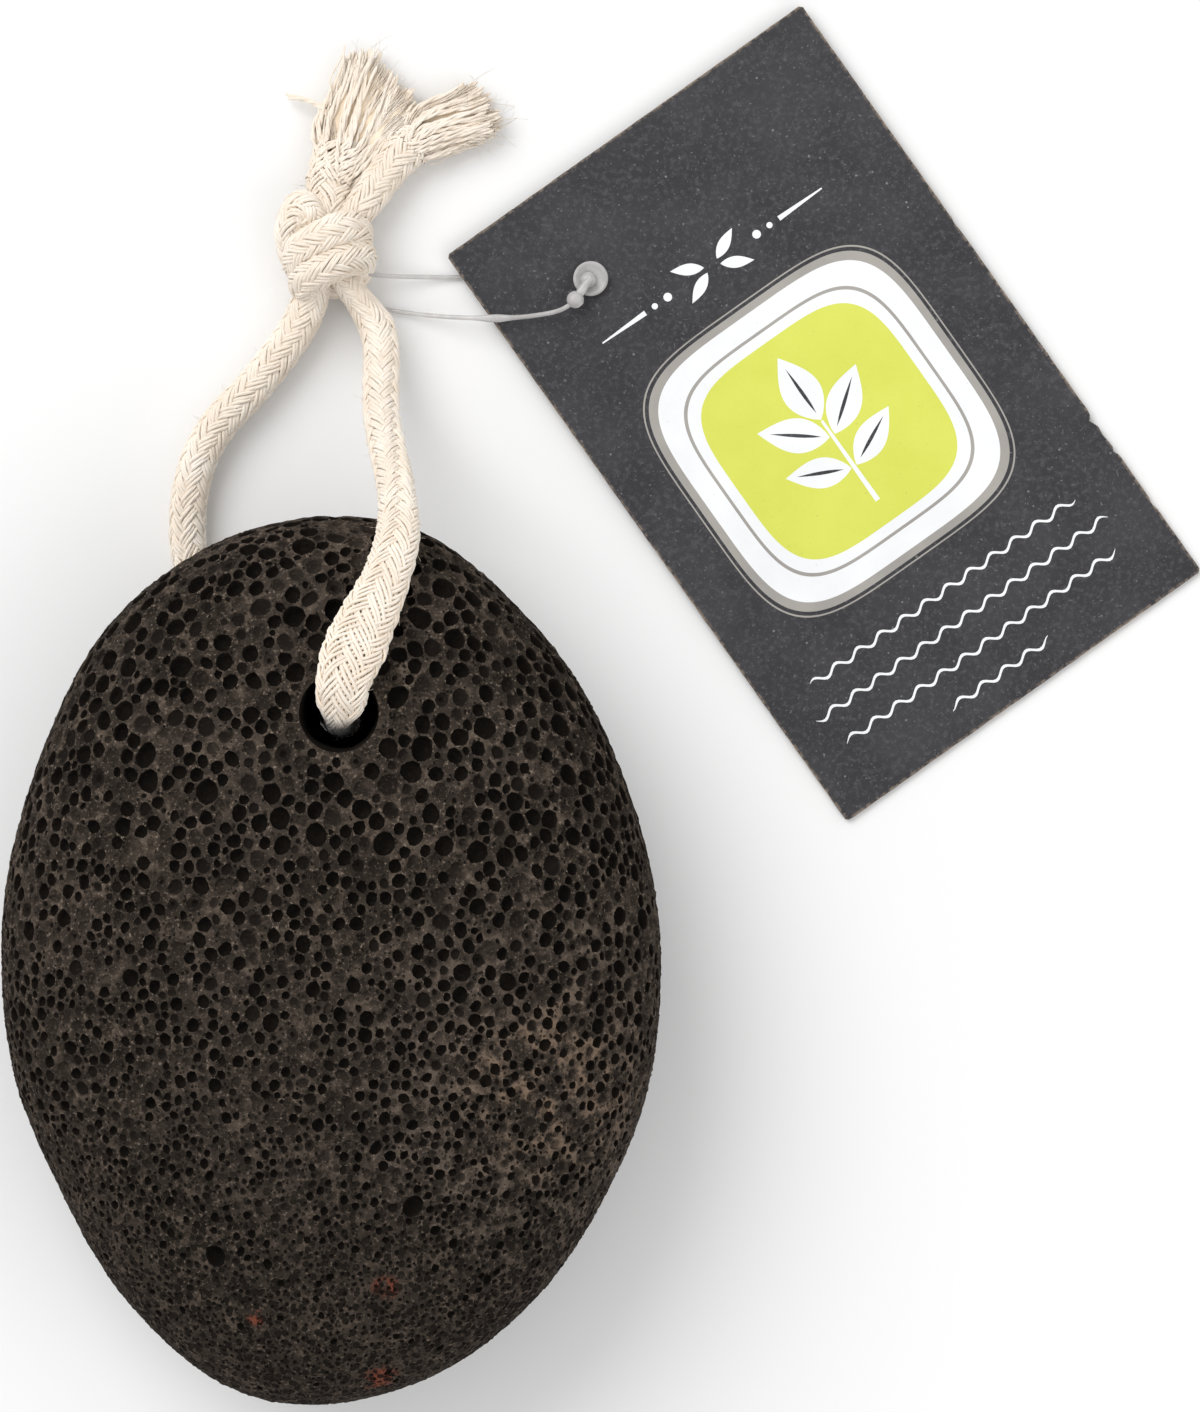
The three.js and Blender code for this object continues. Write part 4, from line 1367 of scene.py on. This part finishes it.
def cover_walls(stone, loops):
    """Triangles of the skin between the rims, found on a flat map of the whole stone."""
    points = np.array(stone.points)
    chosen = [i for loop in loops for i in loop]
    d = unit(points[chosen])
    flat = d[:, :2] / (1 + d[:, 2])[:, None]
    order = {i: k for k, i in enumerate(chosen)}
    edges = []
    for loop in loops:
        count = len(loop)
        edges.extend((order[loop[k]], order[loop[(k + 1) % count]]) for k in range(count))
    found = delaunay_2d_cdt([Vector(p) for p in flat.tolist()], edges, [], 0, 1e-9, False)
    rings = np.array(stone.ring)[chosen]
    if len(found[0]) != len(chosen):
        raise ValueError("some rims of the stone's pits cross each other")
    for a, b, c in found[2]:
        if rings[a] == rings[b] == rings[c]:
            continue
        stone.faces.append((chosen[a], chosen[b], chosen[c]))


def build_stone(material):
    random.seed(5)
    stone = StoneMesh()
    middles, radii = place_pits()
    normals = skin_normals(middles)
    limits = pit_neighbours(middles, radii)
    loops = []
    for index, pit in enumerate(zip(middles, normals, radii, limits)):
        first = len(stone.points)
        build_pit(stone, index, *pit)
        rim = [i for i in range(first, len(stone.points)) if stone.ring[i] == index]
        loops.append(rim)
    loops.extend(add_hole(stone))
    cover_walls(stone, loops)
    points = np.array(stone.points) + (STONE_SHIFT[0], STONE_SHIFT[1], STONE_WIDEST_Z)
    points[:, 2] = np.maximum(points[:, 2], STONE_LOWEST_Z)
    obj = make_object("pumice_stone_skin", points, stone.faces, [material])
    # Each point's painted shade, which the material reads by name.
    add_point_value(obj, "pit_shade", stone.pit_shade)
    mark_rims(obj, stone)
    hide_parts("pumice_stone")


def mark_rims(obj, stone):
    """The rims of deep pits are crisp edges."""
    mesh = obj.data
    pairs = np.zeros(2 * len(mesh.edges), np.int32)
    mesh.edges.foreach_get("vertices", pairs)
    pairs = pairs.reshape(-1, 2)
    ring = np.array(stone.ring)
    crisp = np.array(sorted(stone.sharp_rings))
    on_rim = (ring[pairs[:, 0]] == ring[pairs[:, 1]]) & (ring[pairs[:, 0]] != BELOW_RIM)
    on_rim &= np.isin(ring[pairs[:, 0]], crisp)
    layer = mesh.attributes.new("sharp_edge", "BOOLEAN", "EDGE")
    layer.data.foreach_set("value", on_rim)


# Studio


def make_camera():
    data = bpy.data.cameras.new("camera")
    data.sensor_width = SENSOR
    data.lens = SENSOR * CAMERA_HEIGHT / SEEN_HEIGHT
    data.clip_end = 10
    camera = bpy.data.objects.new("camera", data)
    camera.location = (CAMERA_X * MM, CAMERA_Y * MM, CAMERA_HEIGHT * MM)
    bpy.context.scene.collection.objects.link(camera)
    bpy.context.scene.camera = camera


def make_floor():
    material = bpy.data.materials.new("floor")
    material.use_nodes = True
    shader = material.node_tree.nodes["Principled BSDF"]
    shader.inputs["Base Color"].default_value = (FLOOR_TONE, FLOOR_TONE, FLOOR_TONE, 1)
    shader.inputs["Roughness"].default_value = 0.9
    mesh = bpy.data.meshes.new("floor")
    corners = [(-1, -1), (1, -1), (1, 1), (-1, 1)]
    places = [(x * FLOOR_HALF, y * FLOOR_HALF, FLOOR_Z) for x, y in corners]
    mesh.from_pydata(places, [], [(0, 1, 2, 3)])
    mesh.materials.append(material)
    floor = bpy.data.objects.new("floor", mesh)
    bpy.context.scene.collection.objects.link(floor)


def make_light(name, place, size, power):
    data = bpy.data.lights.new(name, "AREA")
    data.shape = "DISK"
    data.size = size
    data.energy = power
    light = bpy.data.objects.new(name, data)
    light.location = place
    light.rotation_mode = "QUATERNION"
    light.rotation_quaternion = (LIGHT_TARGET - Vector(place)).to_track_quat("-Z", "Y")
    bpy.context.scene.collection.objects.link(light)


def make_world():
    world = bpy.data.worlds.new("studio")
    world.use_nodes = True
    background = world.node_tree.nodes["Background"]
    background.inputs["Color"].default_value = (1, 1, 1, 1)
    background.inputs["Strength"].default_value = WORLD_STRENGTH
    bpy.context.scene.world = world


# Materials. Places are in metres, and a noise's scale is its features in a metre.


class Nodes:
    """A material and short ways to add the nodes that feed its shader."""

    def __init__(self, name):
        self.material = bpy.data.materials.new(name)
        self.material.use_nodes = True
        self.tree = self.material.node_tree
        self.shader = self.tree.nodes["Principled BSDF"]

    def set(self, **values):
        for name, value in values.items():
            self.shader.inputs[name.replace("_", " ")].default_value = value

    def add(self, kind):
        return self.tree.nodes.new("ShaderNode" + kind)

    def feed(self, socket, value):
        if isinstance(value, bpy.types.NodeSocket):
            self.tree.links.new(value, socket)
        else:
            socket.default_value = value

    def place(self, stretch=(1, 1, 1)):
        node = self.add("TexCoord")
        return self.stretched(node.outputs["Object"], stretch)

    def uv(self, name, stretch=(1, 1, 1)):
        node = self.add("UVMap")
        node.uv_map = name
        return self.stretched(node.outputs["UV"], stretch)

    def stretched(self, socket, stretch):
        if stretch == (1, 1, 1):
            return socket
        mapping = self.add("Mapping")
        mapping.inputs["Scale"].default_value = stretch
        self.feed(mapping.inputs["Vector"], socket)
        return mapping.outputs["Vector"]

    def attribute(self, name):
        node = self.add("Attribute")
        node.attribute_name = name
        return node.outputs["Fac"]

    def noise(self, place, scale, detail=2.0, roughness=0.5):
        node = self.add("TexNoise")
        self.feed(node.inputs["Vector"], place)
        node.inputs["Scale"].default_value = scale
        node.inputs["Detail"].default_value = detail
        node.inputs["Roughness"].default_value = roughness
        return node.outputs["Fac"]

    def cells(self, place, scale):
        node = self.add("TexVoronoi")
        self.feed(node.inputs["Vector"], place)
        node.inputs["Scale"].default_value = scale
        return node.outputs["Distance"]

    def math(self, operation, a, b=0.0):
        node = self.add("Math")
        node.operation = operation
        self.feed(node.inputs[0], a)
        self.feed(node.inputs[1], b)
        return node.outputs[0]

    def times(self, a, b):
        return self.math("MULTIPLY", a, b)

    def opposite(self, a):
        """1 where the value is 0, and 0 where it is 1."""
        return self.math("SUBTRACT", 1.0, a)

    def parts(self, vector):
        """The X and Y of a vector."""
        node = self.add("SeparateXYZ")
        self.feed(node.inputs[0], vector)
        return node.outputs["X"], node.outputs["Y"]

    def range(self, value, low, high, to_low=0.0, to_high=1.0):
        node = self.add("MapRange")
        node.interpolation_type = "SMOOTHSTEP"
        self.feed(node.inputs["Value"], value)
        node.inputs["From Min"].default_value = low
        node.inputs["From Max"].default_value = high
        node.inputs["To Min"].default_value = to_low
        node.inputs["To Max"].default_value = to_high
        return node.outputs["Result"]

    def mix(self, share, a, b):
        node = self.add("Mix")
        node.data_type = "RGBA"
        self.feed(node.inputs[0], share)
        self.feed(node.inputs[6], a)
        self.feed(node.inputs[7], b)
        return node.outputs[2]

    def near(self, point, low, high):
        """1 at a point given in millimetres, falling to 0 further out."""
        node = self.add("VectorMath")
        node.operation = "DISTANCE"
        self.feed(node.inputs[0], self.place())
        node.inputs[1].default_value = [c * MM for c in point]
        return self.range(node.outputs["Value"], low * MM, high * MM, 1.0, 0.0)

    def bump(self, height, depth, strength=1.0, under=None):
        """A bump of a height from 0 to 1, its depth in millimetres."""
        node = self.add("Bump")
        node.inputs["Strength"].default_value = strength
        node.inputs["Distance"].default_value = depth * MM
        self.feed(node.inputs["Height"], height)
        if under is not None:
            self.feed(node.inputs["Normal"], under)
        return node.outputs["Normal"]

    def finish(self, colour, normal):
        self.feed(self.shader.inputs["Base Color"], colour)
        self.feed(self.shader.inputs["Normal"], normal)
        return self.material


def rgb(red, green, blue):
    return (red, green, blue, 1.0)


def cotton_material():
    n = Nodes("unbleached cotton")
    n.set(Roughness=0.92, Specular_IOR_Level=0.18, Sheen_Weight=0.3, Sheen_Roughness=0.6)
    run, around = n.parts(n.uv("thread"))
    turn = n.math("ADD", n.times(run, 0.8), n.times(around, 3.0))
    wave = n.math("SINE", n.times(turn, 2 * math.pi))
    plies = n.range(wave, -1.0, 0.6)
    fibres = n.noise(n.uv("thread", (1.6, 26.0, 1.0)), 1.0, 3.0, 0.6)
    wide = n.noise(n.place(), 260.0, 2.0)
    tone = n.mix(n.range(wide, 0.35, 0.7), rgb(0.88, 0.785, 0.68), rgb(0.955, 0.89, 0.81))
    tone = n.mix(n.times(n.range(fibres, 0.3, 0.62, 1.0, 0.0), 0.25), tone, rgb(0.8, 0.68, 0.53))
    # Painted shade in the grooves between the plies of each yarn, along with their bump.
    tone = n.mix(n.times(n.opposite(plies), 0.3), tone, rgb(0.76, 0.62, 0.46))
    # Painted warm shade on the inner side of each yarn, towards the core, where the gaps between yarns lie in
    # shade.
    outer = n.math("ABSOLUTE", n.math("SUBTRACT", around, 0.5))
    tone = n.mix(n.range(outer, 0.12, 0.4, 0.6, 0.0), tone, rgb(0.94, 0.785, 0.58))
    # Painted shade: the cord goes near black where it goes down into the hole.
    tone = n.mix(n.near(CORD_SHADE_IN_HOLE, 3.0, 6.3), tone, rgb(0.03, 0.022, 0.015))
    normal = n.bump(plies, 0.05, 0.6)
    normal = n.bump(fibres, 0.04, 0.5, normal)
    return n.finish(tone, normal)


def on_top(x, y):
    """The point on top of the stone at a place, in the object's own frame."""
    from_middle = top_point(x - STONE_SHIFT[0], y - STONE_SHIFT[1])
    return from_middle + (STONE_SHIFT[0], STONE_SHIFT[1], STONE_WIDEST_Z)


def stone_material():
    n = Nodes("dark pumice")
    n.set(Roughness=0.95, Specular_IOR_Level=0.07)
    place = n.place()
    pit_shade = n.attribute("pit_shade")
    broad = n.noise(place, 55.0, 3.0, 0.6)
    middle = n.noise(place, 420.0, 4.0, 0.65)
    fine = n.noise(place, 2600.0, 3.0, 0.7)
    _, y_place = n.parts(place)
    plain_end = n.range(y_place, -0.042, 0.016, 1.0, 0.0)
    tone = n.mix(n.range(broad, 0.36, 0.66), rgb(0.0245, 0.019, 0.0147), rgb(0.044, 0.034, 0.027))
    tone = n.mix(n.range(middle, 0.47, 0.68, 0.0, 0.8), tone, rgb(0.1, 0.077, 0.059))
    tone = n.mix(n.range(fine, 0.55, 0.72, 0.0, 0.7), tone, rgb(0.27, 0.212, 0.165))
    tone = n.mix(n.range(fine, 0.28, 0.46, 0.65, 0.0), tone, rgb(0.018, 0.014, 0.011))
    tone = n.mix(n.times(plain_end, 0.3), tone, rgb(0.016, 0.0125, 0.0098))
    pale = n.times(n.near(on_top(*TAN_PATCH), 4.0, 30.0), n.range(middle, 0.4, 0.6, 0.1, 1.0))
    tone = n.mix(n.times(pale, 0.45), tone, rgb(0.16, 0.125, 0.1))
    warm = n.times(n.near(on_top(*TAN_PATCH), 3.0, 15.0), n.range(middle, 0.46, 0.62))
    tone = n.mix(n.times(warm, 0.5), tone, rgb(0.24, 0.16, 0.105))
    for x, y, size in RED_SPOTS:
        spot = n.times(n.near(on_top(x, y), size * 0.4, size), n.range(middle, 0.4, 0.52))
        tone = n.mix(n.times(spot, 0.9), tone, rgb(0.155, 0.046, 0.027))
    skin_only = n.range(pit_shade, 0.0, 0.06, 1.0, 0.0)
    small = n.range(n.cells(n.place((1.0, 0.85, 1.0)), 1900.0), 0.24, 0.36, 1.0, 0.0)
    small = n.times(small, n.range(n.noise(place, 900.0, 1.0), 0.46, 0.56))
    packed = n.range(n.cells(n.place((1.0, 0.88, 1.0)), 1050.0), 0.38, 0.45, 1.0, 0.0)
    packed = n.times(packed, plain_end)
    pore = n.times(n.math("MAXIMUM", small, packed), skin_only)
    dents = n.range(n.cells(n.place((1.0, 0.86, 1.0)), 640.0), 0.24, 0.42, 1.0, 0.0)
    dents = n.times(n.times(dents, skin_only), n.range(plain_end, 0.0, 1.0, 1.0, 0.3))
    # Painted shade in small dents of the skin, which also get a bump.
    tone = n.mix(n.times(dents, 0.5), tone, rgb(0.013, 0.0105, 0.0085))
    # Painted shade: pores made by the material alone are near black, and also get a bump.
    tone = n.mix(n.times(pore, 0.92), tone, rgb(0.008, 0.0065, 0.005))
    # Painted shade: pits and the hole's wall darken to near black with the shade their points carry.
    tone = n.mix(n.range(pit_shade, 0.0, 0.25, 0.0, 0.94), tone, rgb(0.007, 0.0055, 0.0045))
    normal = n.bump(middle, 0.4, 0.8)
    normal = n.bump(fine, 0.12, 0.8, normal)
    normal = n.bump(n.opposite(dents), 0.3, 0.8, normal)
    normal = n.bump(n.opposite(pore), 0.25, 0.8, normal)
    return n.finish(tone, normal)


def card_nodes(name):
    """What the card's materials share: finish, grain, flecks, cloudy tone and bump."""
    n = Nodes(name)
    n.set(Roughness=0.72, Specular_IOR_Level=0.3)
    place = n.place()
    grain = n.noise(place, 1500.0, 4.0, 0.7)
    flecks = n.noise(place, 3200.0, 2.0, 0.6)
    cloud = n.noise(place, 130.0, 3.0, 0.6)
    normal = n.bump(grain, 0.06, 0.5)
    return n, grain, flecks, cloud, normal


def charcoal_card():
    n, grain, flecks, cloud, normal = card_nodes("charcoal card")
    tone = n.mix(n.range(cloud, 0.3, 0.7), rgb(0.03, 0.0295, 0.033), rgb(0.043, 0.042, 0.0455))
    tone = n.mix(n.range(grain, 0.45, 0.72, 0.0, 0.65), tone, rgb(0.085, 0.085, 0.095))
    tone = n.mix(n.range(flecks, 0.62, 0.78, 0.0, 0.8), tone, rgb(0.2, 0.2, 0.21))
    dust = n.range(n.cells(n.place(), 420.0), 0.03, 0.075, 1.0, 0.0)
    tone = n.mix(n.times(dust, 0.5), tone, rgb(0.34, 0.33, 0.31))
    edge = card_edge_nearness(n)
    worn = n.times(edge, n.range(grain, 0.4, 0.6))
    tone = n.mix(n.times(worn, 0.85), tone, rgb(0.26, 0.2, 0.15))
    return n.finish(tone, normal)


def card_edge_nearness(n):
    """1 at the card's cut edge, 0 a little inside it."""
    across, up = n.parts(n.uv("card"))
    u = n.math("SUBTRACT", TAG_WIDTH / 2, n.math("ABSOLUTE", across))
    v = n.math("SUBTRACT", TAG_LENGTH / 2, n.math("ABSOLUTE", up))
    return n.range(n.math("MINIMUM", u, v), 0.05, 0.42, 1.0, 0.0)


def card_edge():
    n, _, flecks, cloud, normal = card_nodes("card edge")
    tone = n.mix(n.range(cloud, 0.4, 0.6), rgb(0.1, 0.082, 0.068), rgb(0.3, 0.24, 0.18))
    tone = n.mix(n.range(flecks, 0.6, 0.75), tone, rgb(0.6, 0.56, 0.5))
    return n.finish(tone, normal)


def printed(name, colour, darker, show_card):
    """An ink, a little uneven, through which the card's flecks show."""
    n, _, flecks, cloud, normal = card_nodes(name)
    tone = n.mix(n.range(cloud, 0.3, 0.7), darker, colour)
    tone = n.mix(n.range(flecks, 0.66, 0.8, 0.0, show_card), tone, rgb(0.12, 0.12, 0.12))
    return n.finish(tone, normal)


def milky_plastic():
    n = Nodes("milky plastic")
    n.set(Roughness=0.2, IOR=1.45, Transmission_Weight=0.5)
    cloud = n.noise(n.place(), 700.0, 2.0)
    tone = n.mix(n.range(cloud, 0.35, 0.65), rgb(0.67, 0.652, 0.642), rgb(0.78, 0.762, 0.752))
    return n.finish(tone, n.bump(cloud, 0.05, 0.3))


# The pieces


def build_cord(cotton):
    """The cord's four pieces: loop, knot and both ends."""
    tubes = TubeSet()
    add_braid(tubes, KNOT_LEFT_EXIT - 0.1, KNOT_RIGHT_EXIT + 0.1)
    add_hairs(tubes, LOOP_HAIRS, skin_of_cord(KNOT_LEFT_EXIT, KNOT_RIGHT_EXIT), 0.7)
    loop = tubes.build("braided_cord_loop", cotton)
    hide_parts("cord_loop")
    tubes = TubeSet()
    add_braid(tubes, LEFT_TAIL_END - 0.1, KNOT_LEFT_EXIT)
    add_braid(tubes, KNOT_RIGHT_EXIT, RIGHT_TAIL_START + 0.1)
    for first, last in ((LEFT_TAIL_END, KNOT_LEFT_EXIT), (KNOT_RIGHT_EXIT, RIGHT_TAIL_START)):
        add_hairs(tubes, KNOT_HAIRS, skin_of_cord(first, last), 0.8)
    knot = tubes.build("braided_cord_knot", cotton)
    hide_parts("cord_knot")
    left = build_tail(
        "frayed_end_left", "cord_tail_left", cotton,
        LEFT_TAIL_END, LEFT_BRAID_END, LEFT_LATE, LEFT_TIPS)
    right = build_tail(
        "frayed_end_right", "cord_tail_right", cotton,
        RIGHT_TAIL_START, RIGHT_BRAID_END, RIGHT_LATE, RIGHT_TIPS)
    return loop, knot, left, right


random.seed(3)
make_camera()
make_floor()
make_world()
for light in LIGHTS:
    make_light(*light)
bpy.context.scene.view_settings.view_transform = "Standard"

cord_loop, cord_knot, frayed_left, frayed_right = build_cord(cotton_material())
build_tag([
    charcoal_card(),
    card_edge(),
    printed("white print", rgb(0.86, 0.87, 0.88), rgb(0.8, 0.81, 0.82), 0.25),
    printed("silver print", rgb(0.38, 0.36, 0.33), rgb(0.32, 0.3, 0.28), 0.3),
    printed("lime print", rgb(0.665, 0.7, 0.115), rgb(0.63, 0.665, 0.1), 0.3),
])
fastener = build_fastener(milky_plastic())
build_stone(stone_material())
